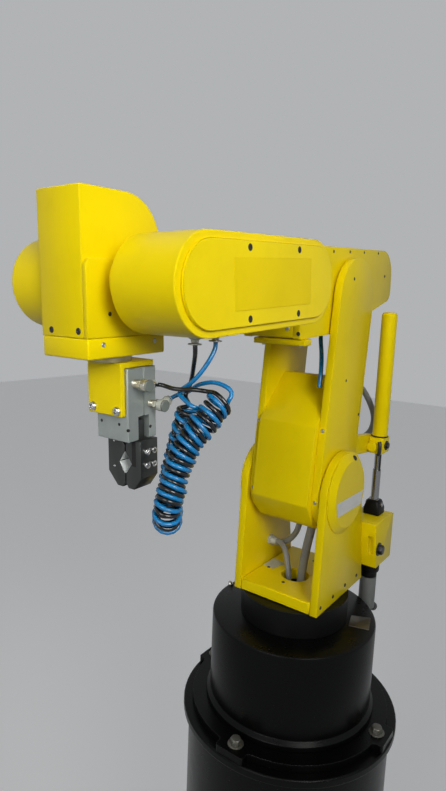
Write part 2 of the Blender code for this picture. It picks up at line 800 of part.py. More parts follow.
def build_drive():
    low = DRIVE_BLOCK_BOTTOM
    high = DRIVE_BLOCK_TOP
    outline = rounded(
        [
            (-DRIVE_BLOCK_REAR, low, NUT_EDGE),
            (ear_rear_x(low) - GAP, low, 0.0),
            (ear_rear_x(high) - GAP, high, 0.0),
            (-DRIVE_BLOCK_REAR, high, NUT_EDGE),
        ]
    )
    block = extruded("drive_block", outline, 2 * DRIVE_BLOCK_HALF_WIDTH, YELLOW, turret, (0.0, DRIVE_Y, 0.0))
    bevel(block, EAR_EDGE)
    half_slot = DRIVE_BLOCK_SLOT_WIDTH / 2
    slot_y = DRIVE_Y + DRIVE_BLOCK_HALF_WIDTH - DRIVE_BLOCK_SLOT_WIDTH
    middle = between(low, high)
    slot = box(
        "drive block slot",
        (ear_rear_x(middle) - DRIVE_BLOCK_SLOT_DEPTH, slot_y - half_slot, middle - DRIVE_BLOCK_SLOT_HEIGHT / 2),
        (ear_rear_x(middle) + DRIVE_BLOCK_SLOT_DEPTH, slot_y + half_slot, middle + DRIVE_BLOCK_SLOT_HEIGHT / 2),
        None,
        turret,
    )
    cut(block, slot)
    turned(
        "drive_collar",
        [
            (0.0, 0.0),
            (DRIVE_COLLAR_RADIUS, 0.0),
            (DRIVE_COLLAR_RADIUS, -DRIVE_COLLAR_HEIGHT),
            (DRIVE_NECK_RADIUS, -DRIVE_COLLAR_HEIGHT),
            (DRIVE_NECK_RADIUS, -DRIVE_COLLAR_HEIGHT - DRIVE_NECK_HEIGHT),
            (0.0, -DRIVE_COLLAR_HEIGHT - DRIVE_NECK_HEIGHT),
        ],
        BLACK_PLASTIC,
        turret,
        (DRIVE_X, DRIVE_Y, low - GAP),
        steps=ROUND_SIDES,
    )
    turned(
        "drive_motor",
        [
            (0.0, 0.0),
            (DRIVE_MOTOR_RADIUS, 0.0),
            (DRIVE_MOTOR_RADIUS, -DRIVE_MOTOR_HEIGHT),
            (DRIVE_PLUG_RADIUS, -DRIVE_MOTOR_HEIGHT),
            (DRIVE_PLUG_RADIUS, -DRIVE_MOTOR_HEIGHT - DRIVE_PLUG_LENGTH),
            (0.0, -DRIVE_MOTOR_HEIGHT - DRIVE_PLUG_LENGTH),
        ],
        ALUMINIUM,
        turret,
        (DRIVE_X, DRIVE_Y, low - DRIVE_COLLAR_HEIGHT - DRIVE_NECK_HEIGHT - 2 * GAP),
        steps=ROUND_SIDES,
    )


def build_fork():
    """The black fork on the drive block: two cheeks on a foot, with the screw's eye and pin between them."""
    foot_bottom = DRIVE_BLOCK_TOP + GAP
    foot_top = SCREW_PIVOT_Z - SCREW_EYE_RADIUS - OVERRUN / 4
    top = SCREW_PIVOT_Z + FORK_CHEEK_HEIGHT - FORK_ROUND
    half = FORK_HALF_WIDTH
    cheek = rounded(
        [
            (DRIVE_X - half, foot_bottom, 0.0),
            (DRIVE_X + half, foot_bottom, 0.0),
            (DRIVE_X + FORK_ROUND, top, FORK_ROUND / 2),
            (DRIVE_X - FORK_ROUND, top, FORK_ROUND / 2),
        ]
    )
    fork = extruded("screw_fork", cheek, 2 * half, BLACK, turret, (0.0, DRIVE_Y, 0.0))
    inner = half - FORK_CHEEK_THICK
    gap = box(
        "fork gap",
        (DRIVE_X - 2 * half, DRIVE_Y - inner, foot_top),
        (DRIVE_X + 2 * half, DRIVE_Y + inner, top + OVERRUN),
        None,
        turret,
    )
    pin_hole = rod(
        "fork pin hole",
        (DRIVE_X, DRIVE_Y - half - OVERRUN, SCREW_PIVOT_Z),
        2 * (half + OVERRUN),
        PIVOT_PIN_RADIUS + PIN_CLEARANCE,
        None,
        turret,
        axis="Y",
    )
    cut(fork, gap)
    cut(fork, pin_hole)


def build_screw():
    """The screw on its eye, which swings on a pin in the fork."""
    inner = FORK_HALF_WIDTH - FORK_CHEEK_THICK - RUNNING_GAP
    rod(
        "drive_screw",
        (0.0, 0.0, 0.0),
        SCREW_TOP,
        SCREW_RADIUS,
        CHROME,
        screw,
    )
    eye = rod("screw eye", (0.0, -inner, 0.0), 2 * inner, SCREW_EYE_RADIUS, None, screw, axis="Y")
    reach = FORK_HALF_WIDTH
    pin = rod("screw pin", (0.0, -reach, 0.0), 2 * reach, PIVOT_PIN_RADIUS, None, screw, axis="Y")
    sleeve = rod("screw sleeve", (0.0, 0.0, 0.0), SCREW_SLEEVE_TOP, SCREW_SLEEVE_RADIUS, None, screw)
    made = bpy.data.objects["drive_screw"]
    for other in (sleeve, eye, pin):
        join(made, other)


def build_nut():
    """The nut block on its trunnion, with the tube that covers the screw's free end."""
    low = NUT_INNER - DRIVE_Y
    high = NUT_OUTER - DRIVE_Y
    block = box(
        "nut_block",
        (-NUT_HALF_LENGTH, low, -NUT_HALF_HEIGHT),
        (NUT_HALF_LENGTH, high, NUT_HALF_HEIGHT),
        YELLOW,
        nut,
    )
    bevel(block, NUT_EDGE)
    lug_inner = ARM_PLATE_OUTER - ARM_PLATE_THICK
    trunnion_start = lug_inner - DRIVE_Y
    trunnion_length = NUT_INNER + OVERRUN - lug_inner
    trunnion = rod(
        "nut trunnion", (0.0, trunnion_start, 0.0), trunnion_length, TRUNNION_RADIUS, None, nut, axis="Y"
    )
    join(block, trunnion)
    bore_radius = SCREW_RADIUS + NUT_BORE_CLEARANCE
    bore_start = -NUT_HALF_HEIGHT - OVERRUN
    bore = rod("nut bore", (0.0, 0.0, bore_start), 2 * -bore_start, bore_radius, None, nut)
    cut(block, bore)
    bottom = NUT_HALF_HEIGHT + GAP
    top = TUBE_TOP - NUT_PIVOT_Z
    inner = TUBE_RADIUS - TUBE_WALL
    dome = [
        (
            TUBE_RADIUS - TUBE_DOME + TUBE_DOME * math.sin(math.pi / 2 * k / ARC_STEPS),
            top - TUBE_DOME + TUBE_DOME * math.cos(math.pi / 2 * k / ARC_STEPS),
        )
        for k in range(ARC_STEPS + 1)
    ]
    tube = turned(
        "screw_cover_tube",
        [(0.0, top)] + dome + [(TUBE_RADIUS, bottom), (inner, bottom), (inner, top - TUBE_DOME), (0.0, top - TUBE_DOME)],
        YELLOW,
        nut,
        steps=ROUND_SIDES,
    )
    return tube


# Upper arm


def arm_plate_outline():
    return rounded(
        [
            (ARM_HALF_WIDTH, -ARM_HALF_WIDTH, ARM_HALF_WIDTH),
            (ARM_HALF_WIDTH, ARM_LENGTH + ARM_HALF_WIDTH, ARM_HALF_WIDTH),
            (-ARM_HALF_WIDTH, ARM_LENGTH + ARM_HALF_WIDTH, ARM_HALF_WIDTH),
            (-ARM_HALF_WIDTH, -ARM_HALF_WIDTH, ARM_HALF_WIDTH),
        ],
        WIDE_ARC_STEPS,
    )


def build_upper_arm():
    centre = ARM_PLATE_OUTER - ARM_PLATE_THICK / 2
    boss_end = EAR_INNER - GAP
    for name, sign in (("left", 1), ("right", -1)):
        plate = extruded(
            f"upper_arm_{name}_plate",
            arm_plate_outline(),
            ARM_PLATE_THICK,
            YELLOW,
            shoulder,
            (0.0, sign * centre, 0.0),
        )
        bevel(plate, ARM_EDGE)
        start = min(sign * centre, sign * boss_end)
        boss = rod(
            f"shoulder {name} boss",
            (0.0, start, 0.0),
            boss_end - centre,
            BOSS_RADIUS,
            None,
            shoulder,
            axis="Y",
        )
        join(plate, boss)
        if name == "left":
            lug = extruded(
                "nut lug",
                slot_outline(NUT_X, -ARM_HALF_WIDTH / 2, LUG_HALF_HEIGHT, ARC_STEPS),
                ARM_PLATE_THICK - 2 * GAP,
                None,
                shoulder,
                (0.0, sign * centre, NUT_Z),
            )
            join(plate, lug)
            hole = rod(
                "nut trunnion hole",
                (NUT_X, centre - ARM_PLATE_THICK, NUT_Z),
                2 * ARM_PLATE_THICK,
                TRUNNION_RADIUS + PIN_CLEARANCE,
                None,
                shoulder,
                axis="Y",
            )
            cut(plate, hole)
    inner = ARM_PLATE_OUTER - ARM_PLATE_THICK - GAP
    cover = extruded(
        "upper_arm_motor_cover",
        rounded(
            [
                (-MOTOR_COVER_REAR, -MOTOR_COVER_BOTTOM, MOTOR_COVER_BOTTOM_ROUND),
                (MOTOR_COVER_BOTTOM_FRONT, -MOTOR_COVER_BOTTOM, MOTOR_COVER_BOTTOM_ROUND),
                (MOTOR_COVER_FRONT, -MOTOR_COVER_CORNER, MOTOR_COVER_FOLD_ROUND),
                (MOTOR_COVER_FRONT, MOTOR_COVER_FOLD, MOTOR_COVER_FOLD_ROUND),
                (MOTOR_COVER_TOP_FRONT, MOTOR_COVER_TOP, MOTOR_COVER_FOLD_ROUND),
                (-MOTOR_COVER_REAR, MOTOR_COVER_TOP, MOTOR_COVER_FOLD_ROUND),
            ]
        ),
        2 * inner,
        YELLOW,
        shoulder,
    )
    bevel(cover, MOTOR_COVER_EDGE)


# Elbow


def elbow_outline(inset=0.0):
    """The elbow's side: a block in front, and a rounded tail behind the joint."""
    round_radius = ELBOW_REAR_ROUND - inset
    top = ELBOW_TOP - inset
    rear = -ELBOW_REAR_CENTRE - ELBOW_REAR_ROUND + inset
    tail_bottom = ELBOW_TOP - 2 * ELBOW_REAR_ROUND + inset
    return rounded(
        [
            (ELBOW_FRONT, -ELBOW_BOTTOM + inset, ELBOW_FRONT_ROUND),
            (ELBOW_FRONT, top, ELBOW_FRONT_ROUND),
            (rear, top, round_radius),
            (rear, tail_bottom, round_radius / 2),
            (-ELBOW_HEEL_X - ELBOW_HEEL_REACH, -ELBOW_BOTTOM + ELBOW_HEEL_RISE + inset, 0.0),
            (-ELBOW_HEEL_X, -ELBOW_BOTTOM + inset, 0.0),
        ],
        WIDE_ARC_STEPS,
    )


def build_elbow():
    centre = ELBOW_OUTER - ELBOW_PLATE_THICK / 2
    boss_end = ARM_PLATE_OUTER - ARM_PLATE_THICK - GAP
    for name, sign in (("left", 1), ("right", -1)):
        side = extruded(
            f"elbow_{name}_side_plate",
            elbow_outline(),
            ELBOW_PLATE_THICK,
            YELLOW,
            elbow,
            (0.0, sign * centre, 0.0),
        )
        bevel(side, ELBOW_EDGE)
        start = min(sign * centre, sign * boss_end)
        boss = rod(
            f"elbow {name} boss", (0.0, start, 0.0), boss_end - centre, BOSS_RADIUS, None, elbow, axis="Y"
        )
        join(side, boss)
    inner = ELBOW_OUTER - ELBOW_PLATE_THICK - GAP
    core = extruded("elbow_housing", elbow_outline(ELBOW_CORE_INSET), 2 * inner, YELLOW, elbow)
    bevel(core, ELBOW_EDGE)
    foot_front = ELBOW_FRONT - FOOT_PLATE_SET_BACK
    foot_top = -ELBOW_BOTTOM - GAP
    foot = box(
        "elbow_under_plate",
        (foot_front - FOOT_PLATE_DEPTH, FOOT_PLATE_RIGHT, foot_top - FOOT_PLATE_THICK),
        (foot_front, FOOT_PLATE_LEFT, foot_top),
        YELLOW,
        elbow,
    )
    bevel(foot, ELBOW_EDGE)
    rod(
        "forearm_bearing_seat",
        (ELBOW_FRONT + GAP, WRIST_OFFSET, FOREARM_RISE),
        ROLL_SEAT_LENGTH,
        ROLL_SEAT_RADIUS,
        STEEL,
        elbow,
        axis="X",
        sides=WIDE_ROUND_SIDES,
    )


# Forearm yoke


def build_forearm():
    flange_x = ELBOW_FRONT + GAP + ROLL_SEAT_LENGTH + RUNNING_GAP - FOREARM_REACH
    side = ARM_SIDE_INNER - GAP
    block = box(
        "forearm_yoke_block",
        (flange_x + ROLL_FLANGE_THICK / 2, -side, -YOKE_BLOCK_HALF_HEIGHT),
        (-YOKE_BLOCK_FRONT, side, YOKE_BLOCK_HALF_HEIGHT),
        YELLOW,
        forearm,
    )
    bevel(block, YOKE_BLOCK_EDGE)
    flange = rod(
        "forearm roll flange",
        (flange_x, 0.0, 0.0),
        ROLL_FLANGE_THICK,
        ROLL_FLANGE_RADIUS,
        None,
        forearm,
        axis="X",
        sides=WIDE_ROUND_SIDES,
    )
    join(block, flange)
    housings = (("left", 1, NEAR_HOUSING_OUTER), ("right", -1, FAR_HOUSING_OUTER))
    for name, sign, outer in housings:
        housing = extruded(
            f"forearm_{name}_housing",
            slot_outline(-FOREARM_HOUSING_LENGTH, 0.0, FOREARM_ROUND),
            outer - ARM_SIDE_INNER,
            YELLOW,
            forearm,
            (0.0, sign * between(ARM_SIDE_INNER, outer), 0.0),
        )
        bevel(housing, HOUSING_BEVEL, segments=1)
        cover = extruded(
            f"forearm_{name}_side_cover",
            slot_outline(-FOREARM_HOUSING_LENGTH, 0.0, FOREARM_ROUND - HOUSING_BEVEL),
            SIDE_COVER_THICK,
            YELLOW,
            forearm,
            (0.0, sign * (outer + GAP + SIDE_COVER_THICK / 2), 0.0),
        )
        bevel(cover, PLATE_EDGE / 2, segments=1)
    for name, x in zip(("front", "rear"), HOSE_PORT_X):
        top = -FOREARM_ROUND - GAP
        port = rod(
            f"hose_port_{name}",
            (x, HOSE_PORT_Y, top - HOSE_PORT_HEIGHT),
            HOSE_PORT_HEIGHT,
            HOSE_PORT_RADIUS,
            BRASS,
            forearm,
        )
        collar = rod(
            f"hose port collar {name}",
            (x, HOSE_PORT_Y, top - HOSE_PORT_COLLAR_HEIGHT),
            HOSE_PORT_COLLAR_HEIGHT,
            HOSE_PORT_COLLAR_RADIUS,
            None,
            forearm,
        )
        join(port, collar)


# Hand


def build_hand():
    split = HAND_SPLIT + GAP
    cover = extruded(
        "hand_cover",
        rounded(
            [
                (-HAND_REAR, split, 0.0),
                (HAND_FRONT, split, 0.0),
                (HAND_FRONT, HAND_TOP, HAND_EDGE),
                (-HAND_REAR, HAND_TOP, HAND_TOP_ROUND),
            ],
            WIDE_ARC_STEPS,
        ),
        HAND_COVER_LEFT - HAND_RIGHT,
        YELLOW,
        wrist,
        (0.0, between(HAND_RIGHT, HAND_COVER_LEFT), 0.0),
    )
    bevel(cover, HAND_EDGE)
    boss = rod(
        "wrist right boss",
        (0.0, -ARM_SIDE_INNER + GAP, 0.0),
        ARM_SIDE_INNER,
        WRIST_BOSS_RADIUS,
        None,
        wrist,
        axis="Y",
    )
    join(cover, boss)
    block = box(
        "hand_block",
        (-HAND_REAR, HAND_RIGHT, HAND_BOTTOM),
        (HAND_FRONT, HAND_LEFT, HAND_SPLIT),
        YELLOW,
        wrist,
    )
    bevel(block, HAND_EDGE)
    inner = HAND_COVER_LEFT + GAP
    ear = extruded(
        "hand_ear_plate",
        rounded(
            [
                (-HAND_REAR, split, 0.0),
                (HAND_FRONT, split, 0.0),
                (HAND_FRONT, EAR_PLATE_TOP, EAR_PLATE_ROUND),
                (-HAND_REAR, EAR_PLATE_TOP, EAR_PLATE_ROUND),
            ]
        ),
        HAND_LEFT - inner,
        YELLOW,
        wrist,
        (0.0, between(inner, HAND_LEFT), 0.0),
    )
    bevel(ear, HAND_EDGE)
    pivot = rod(
        "wrist left boss",
        (0.0, between(inner, HAND_LEFT), 0.0),
        ARM_SIDE_INNER - GAP - between(inner, HAND_LEFT),
        WRIST_BOSS_RADIUS,
        None,
        wrist,
        axis="Y",
    )
    join(ear, pivot)


# Tool and gripper

ANGLE_TOP = HAND_BOTTOM - RUNNING_GAP - TOOL_FLANGE_THICK - GAP
GRIPPER_TOP = ANGLE_TOP - ANGLE_THICK - GAP
GRIPPER_FRONT = ANGLE_FRONT - ANGLE_THICK - GAP


def build_tool():
    rod(
        "tool_flange",
        (0.0, 0.0, HAND_BOTTOM - RUNNING_GAP - TOOL_FLANGE_THICK),
        TOOL_FLANGE_THICK,
        TOOL_FLANGE_RADIUS,
        STEEL,
        tool,
    )
    rear = GRIPPER_FRONT - GRIPPER_DEPTH
    angle = extruded(
        "gripper_angle_bracket",
        rounded(
            [
                (rear, ANGLE_TOP - ANGLE_THICK, 0.0),
                (ANGLE_FRONT - ANGLE_THICK, ANGLE_TOP - ANGLE_THICK, 0.0),
                (ANGLE_FRONT - ANGLE_THICK, ANGLE_BOTTOM, 0.0),
                (ANGLE_FRONT, ANGLE_BOTTOM, 0.0),
                (ANGLE_FRONT, ANGLE_TOP, ANGLE_ROUND / 4),
                (rear, ANGLE_TOP, 0.0),
            ]
        ),
        ANGLE_LEFT - ANGLE_RIGHT,
        YELLOW,
        tool,
        (0.0, between(ANGLE_RIGHT, ANGLE_LEFT), 0.0),
    )
    bevel(angle, HAND_EDGE / 2, segments=1)
    body = box(
        "gripper_body",
        (rear, GRIPPER_RIGHT, GRIPPER_BOTTOM),
        (GRIPPER_FRONT, GRIPPER_LEFT, GRIPPER_TOP),
        ALUMINIUM,
        tool,
    )
    bevel(body, GRIPPER_EDGE, segments=1)
    channel_front = GRIPPER_FRONT - GRIPPER_CHANNEL_FRONT
    channel_rear = channel_front - GRIPPER_CHANNEL_WIDTH
    channel = box(
        "gripper channel",
        (channel_rear, GRIPPER_RIGHT - OVERRUN, GRIPPER_BOTTOM - OVERRUN),
        (channel_front, GRIPPER_LEFT + OVERRUN, GRIPPER_CHANNEL_TOP),
        None,
        tool,
    )
    groove_x = between(channel_front, channel_rear)
    groove = box(
        "gripper groove",
        (groove_x - GRIPPER_GROOVE_WIDTH / 2, GRIPPER_LEFT - GRIPPER_GROOVE_DEPTH, GRIPPER_CHANNEL_TOP - OVERRUN),
        (groove_x + GRIPPER_GROOVE_WIDTH / 2, GRIPPER_LEFT + OVERRUN, GRIPPER_TOP + OVERRUN),
        None,
        tool,
    )
    cut(body, channel)
    cut(body, groove)
    fittings = (
        ("upper", UPPER_FITTING_X, UPPER_FITTING_Z, UPPER_OUTLET_LENGTH, UPPER_OUTLET_RISE),
        ("lower", LOWER_FITTING_X, LOWER_FITTING_Z, LOWER_OUTLET_LENGTH, LOWER_OUTLET_RISE),
    )
    for name, x, z, outlet_length, rise in fittings:
        end = FITTING_STEM_LENGTH + FITTING_CAP_LENGTH
        fitting = turned(
            f"air_fitting_{name}",
            [
                (0.0, end),
                (FITTING_CAP_RADIUS, end),
                (FITTING_CAP_RADIUS, FITTING_STEM_LENGTH),
                (FITTING_STEM_RADIUS, FITTING_STEM_LENGTH),
                (FITTING_STEM_RADIUS, 0.0),
                (0.0, 0.0),
            ],
            BRASS,
            tool,
            (x, GRIPPER_LEFT + GAP, z),
            steps=ROUND_SIDES,
        )
        fitting.rotation_euler = Euler(AXIS_TURNS["Y"])
        outlet = rod(
            f"fitting outlet {name}",
            (x, GRIPPER_LEFT + GAP + FITTING_STEM_LENGTH + FITTING_CAP_LENGTH / 2, z),
            outlet_length,
            FITTING_OUTLET_RADIUS,
            None,
            tool,
        )
        outlet.rotation_euler = Euler((0.0, rise - math.pi / 2, 0.0))
        join(fitting, outlet)


def build_finger(name, sign, slide):
    """One finger with its slide in the gripper's channel, and the notched pad on its gripping side."""
    height = FINGER_TOP - FINGER_BOTTOM
    outer = sign * FINGER_THICK
    front = FINGER_FRONT
    rear = FINGER_FRONT - FINGER_DEPTH
    finger = box(
        f"{name}_finger",
        (rear, min(0.0, outer), -height),
        (front, max(0.0, outer), 0.0),
        STEEL,
        slide,
    )
    chamfer = box(
        f"{name} finger chamfer",
        (rear - OVERRUN, -FINGER_CHAMFER, -FINGER_CHAMFER),
        (front + OVERRUN, FINGER_CHAMFER, FINGER_CHAMFER),
        None,
        slide,
    )
    chamfer.location = (between(rear, front), outer, -height)
    chamfer.rotation_euler = Euler((math.pi / 4, 0.0, 0.0))
    bevel(finger, FINGER_EDGE, segments=1)
    cut(finger, chamfer)
    channel_front = GRIPPER_FRONT - GRIPPER_CHANNEL_FRONT - FINGER_SLIDE_CLEARANCE
    channel_rear = channel_front - GRIPPER_CHANNEL_WIDTH + 2 * FINGER_SLIDE_CLEARANCE
    slide_near = sign * FINGER_EDGE
    slide_far = sign * (FINGER_THICK - FINGER_CHAMFER / 2)
    carrier = box(
        f"{name} finger slide",
        (channel_rear, min(slide_near, slide_far), -FINGER_EDGE),
        (min(channel_front, front), max(slide_near, slide_far), FINGER_SLIDE_HEIGHT),
        None,
        slide,
    )
    join(finger, carrier)
    pad_outer = -sign * GAP
    pad_inner = -sign * (GAP + PAD_THICK)
    pad = box(
        f"{name}_finger_pad",
        (rear, min(pad_outer, pad_inner), PAD_BOTTOM - FINGER_TOP),
        (front, max(pad_outer, pad_inner), PAD_TOP - FINGER_TOP),
        ALUMINIUM,
        slide,
    )
    notch = extruded(
        f"{name} pad notch",
        [
            Vector((-sign * (PAD_THICK + GAP - PAD_NOTCH_DEPTH), 0.0)),
            Vector((-sign * (PAD_THICK + GAP + PAD_NOTCH_DEPTH), 2 * PAD_NOTCH_HALF_HEIGHT)),
            Vector((-sign * (PAD_THICK + GAP + PAD_NOTCH_DEPTH), -2 * PAD_NOTCH_HALF_HEIGHT)),
        ],
        FINGER_DEPTH + 2 * OVERRUN,
        None,
        slide,
        (between(rear, front), 0.0, between(PAD_TOP, PAD_BOTTOM) - FINGER_TOP),
    )
    notch.rotation_euler = Euler((0.0, 0.0, math.pi / 2))
    cut(pad, notch)


def build_hoses():
    """The hoses ride on the forearm; their route is given in level axes about the wrist's centre."""
    level = joint_frame("hose_frame", forearm, (0.0, 0.0, 0.0), -FOREARM_PITCH)
    tube("hose_coil", COIL_ROUTE, COIL_RADIUS, BLUE_HOSE, level, COIL_SPACING, bevel_resolution=4)
    tube("black_hose_front_port", FRONT_PORT_ROUTE, HOSE_RADIUS, BLACK_HOSE, level, HOSE_SPACING)
    tube("blue_hose_rear_port", REAR_PORT_ROUTE, HOSE_RADIUS, BLUE_HOSE, level, HOSE_SPACING)
    tube("black_hose_to_gripper", UPPER_FITTING_ROUTE, HOSE_RADIUS, BLACK_HOSE, level, HOSE_SPACING)
    tube("blue_hose_to_gripper", LOWER_FITTING_ROUTE, HOSE_RADIUS, BLUE_HOSE, level, HOSE_SPACING)


def build_cables():
    tube("motor_cable_thick", THICK_CABLE_ROUTE, THICK_CABLE_RADIUS, GREY_PLASTIC, turret, CABLE_SPACING)
    tube("motor_cable_thin", THIN_CABLE_ROUTE, THIN_CABLE_RADIUS, GREY_PLASTIC, turret, CABLE_SPACING)
    tube("motor_cable_loop", LOOP_CABLE_ROUTE, LOOP_CABLE_RADIUS, GREY_PLASTIC, shoulder, CABLE_SPACING)


build_pedestal()
build_base()
build_turret()
build_drive()
build_fork()
build_screw()
build_nut()
build_upper_arm()
build_elbow()
build_forearm()
build_hand()
build_tool()
build_finger("left", 1, left_slide)
build_finger("right", -1, right_slide)
build_hoses()
build_cables()
bpy.context.view_layer.update()
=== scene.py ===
import math

import bmesh
import bpy
from mathutils import Matrix, Vector
from mathutils.bvhtree import BVHTree


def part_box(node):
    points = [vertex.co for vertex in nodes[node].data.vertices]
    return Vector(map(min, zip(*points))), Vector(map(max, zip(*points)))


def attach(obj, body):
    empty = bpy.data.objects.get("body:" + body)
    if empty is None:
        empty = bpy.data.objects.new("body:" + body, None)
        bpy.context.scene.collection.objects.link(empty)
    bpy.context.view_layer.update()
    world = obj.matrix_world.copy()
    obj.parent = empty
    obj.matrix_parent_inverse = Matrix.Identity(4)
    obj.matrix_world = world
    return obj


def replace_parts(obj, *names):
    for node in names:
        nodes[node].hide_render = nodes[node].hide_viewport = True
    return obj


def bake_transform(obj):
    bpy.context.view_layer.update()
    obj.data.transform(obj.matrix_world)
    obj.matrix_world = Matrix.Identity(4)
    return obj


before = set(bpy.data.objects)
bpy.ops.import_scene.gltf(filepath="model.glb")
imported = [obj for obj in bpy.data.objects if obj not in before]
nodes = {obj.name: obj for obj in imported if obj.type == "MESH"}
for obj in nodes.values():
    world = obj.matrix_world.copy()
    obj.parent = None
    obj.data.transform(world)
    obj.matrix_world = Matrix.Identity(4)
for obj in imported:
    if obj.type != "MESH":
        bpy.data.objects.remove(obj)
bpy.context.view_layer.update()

# Places that the details are measured from, in metres
TURRET_TOP = 0.9416  # the bracket's underside
WRIST = Vector((0.363138, -0.011, 1.364494))
HAND_PITCH = math.radians(2.4)
ARM_LEAN = math.radians(5.95)
SHOULDER = Vector((-0.0031, 0.0, 1.1007))
FLANGE_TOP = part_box("base_flange")[1].z
LEFT = Vector((0.0, 1.0, 0.0))
RIGHT = Vector((0.0, -1.0, 0.0))
FRONT = Vector((1.0, 0.0, 0.0))
TOP = Vector((0.0, 0.0, 1.0))
# the gripper's own front and upward ways
TOOL_FRONT = Vector((math.cos(HAND_PITCH), 0.0, -math.sin(HAND_PITCH)))
TOOL_RISE = Vector((math.sin(HAND_PITCH), 0.0, math.cos(HAND_PITCH)))

# ---------------- camera
EYE = Vector((0.7054, 0.3682, 1.3477))
LOOK = Vector((-0.7983, -0.5822, -0.1542)).normalized()
ROLL = math.radians(2.202)
camera_data = bpy.data.cameras.new("camera")
camera_data.lens = 25.54
camera_data.sensor_width = 36.0
camera_data.clip_start = 0.02
camera_data.clip_end = 30.0
camera = bpy.data.objects.new("camera", camera_data)
bpy.context.scene.collection.objects.link(camera)
flat_right = LOOK.cross(TOP).normalized()
flat_up = flat_right.cross(LOOK)
right = flat_right * math.cos(ROLL) + flat_up * math.sin(ROLL)
up = flat_up * math.cos(ROLL) - flat_right * math.sin(ROLL)
turn = Matrix((right, up, -LOOK)).transposed()
camera.matrix_world = Matrix.Translation(EYE) @ turn.to_4x4()
bpy.context.scene.camera = camera
bpy.context.scene.view_settings.view_transform = "Standard"


# ---------------- materials
WELD = 0.000005  # points this close are one
PAINT_EDGE = 0.0012
METAL_EDGE = 0.0006
PIECE_EDGE = 0.0006


def feed(node, inputs):
    """Gives each input its value, or joins it to another node's output."""
    for socket, value in inputs.items():
        if isinstance(value, bpy.types.NodeSocket):
            node.id_data.links.new(value, node.inputs[socket])
        else:
            node.inputs[socket].default_value = value


def put(tree, kind, inputs=(), **settings):
    """A new node with its settings and inputs."""
    node = tree.nodes.new(kind)
    for key, value in settings.items():
        setattr(node, key, value)
    feed(node, dict(inputs))
    return node


def calc(tree, operation, a, b):
    return put(tree, "ShaderNodeMath", {0: a, 1: b}, operation=operation).outputs[0]


def shader(name):
    """A material, its node tree and its Principled shader."""
    material = bpy.data.materials.new(name)
    material.use_nodes = True
    tree = material.node_tree
    return material, tree, next(n for n in tree.nodes if n.type == "BSDF_PRINCIPLED")


def object_place(tree):
    return put(tree, "ShaderNodeTexCoord").outputs["Object"]


def noise(tree, where, scale, detail=3.0, rough=0.5):
    inputs = {"Vector": where, "Scale": scale, "Detail": detail, "Roughness": rough}
    return put(tree, "ShaderNodeTexNoise", inputs).outputs["Fac"]


def ramp(tree, value, stops):
    node = put(tree, "ShaderNodeValToRGB", {"Fac": value})
    steps = node.color_ramp.elements
    while len(steps) < len(stops):
        steps.new(0.5)
    for step, (place, colour) in zip(steps, stops):
        step.position = place
        step.color = (*colour, 1.0)
    return node.outputs["Color"]


def mixed(tree, share, first, second):
    """Two colours mixed. The second is a constant."""
    return put(tree, "ShaderNodeMix", {0: share, 6: first, 7: (*second, 1.0)}, data_type="RGBA").outputs[2]


def spread(tree, value, low, high):
    return put(tree, "ShaderNodeMapRange", {"Value": value, "To Min": low, "To Max": high}).outputs["Result"]


def rounded_normal(tree, radius):
    return put(tree, "ShaderNodeBevel", {"Radius": radius}, samples=4).outputs[0]


def bumped(tree, height, strength, distance, **normal):
    inputs = {"Height": height, "Strength": strength, "Distance": distance, **normal}
    return put(tree, "ShaderNodeBump", inputs).outputs[0]


def grey(v):
    return (v, v, v)


def scaled(colour, share):
    return tuple(min(1.0, c * share) for c in colour)


def paint(name, colour, roughness, coat, wear=None, peel=0.012, dust=0.05, shine=0.35, tint=None):
    """Sprayed paint: faint mottling, orange peel, a clear coat, dark dust specks spread at random and lightly rubbed
    edges.
    """
    material, tree, bsdf = shader(name)
    where = object_place(tree)
    stops = [(0.30, scaled(colour, 0.93)), (0.55, colour), (0.80, scaled(colour, 1.05))]
    base = ramp(tree, noise(tree, where, 9.0, 4.0), stops)
    grime = noise(tree, where, 34.0, 6.0, 0.65)
    specks = ramp(tree, grime, [(0.52, grey(0.0)), (0.78, grey(1.0))])
    shown = mixed(tree, calc(tree, "MULTIPLY", specks, dust), base, scaled(colour, 0.45))
    # edge wear, from the angle between the true and a rounded normal
    normal = rounded_normal(tree, PAINT_EDGE)
    true_normal = put(tree, "ShaderNodeNewGeometry").outputs["Normal"]
    dot = put(tree, "ShaderNodeVectorMath", {0: normal, 1: true_normal}, operation="DOT_PRODUCT")
    turned_away = calc(tree, "SUBTRACT", 1.0, dot.outputs["Value"])
    rub = calc(tree, "MULTIPLY", turned_away, noise(tree, where, 160.0, 5.0, 0.7))
    worn = put(tree, "ShaderNodeMapRange", {"Value": rub, "From Min": 0.06, "From Max": 0.16})
    feed(bsdf, {
        "Base Color": mixed(tree, worn.outputs["Result"], shown, wear or scaled(colour, 1.25)),
        "Roughness": spread(tree, grime, roughness - 0.05, roughness + 0.10),
        "Coat Weight": coat,
        "Coat Roughness": 0.12,
        "Specular IOR Level": shine,
        "Specular Tint": (*(tint or grey(1.0)), 1.0),
        "Normal": bumped(tree, noise(tree, where, 520.0, 2.0), 0.55, peel * 0.01, Normal=normal),
    })
    return material


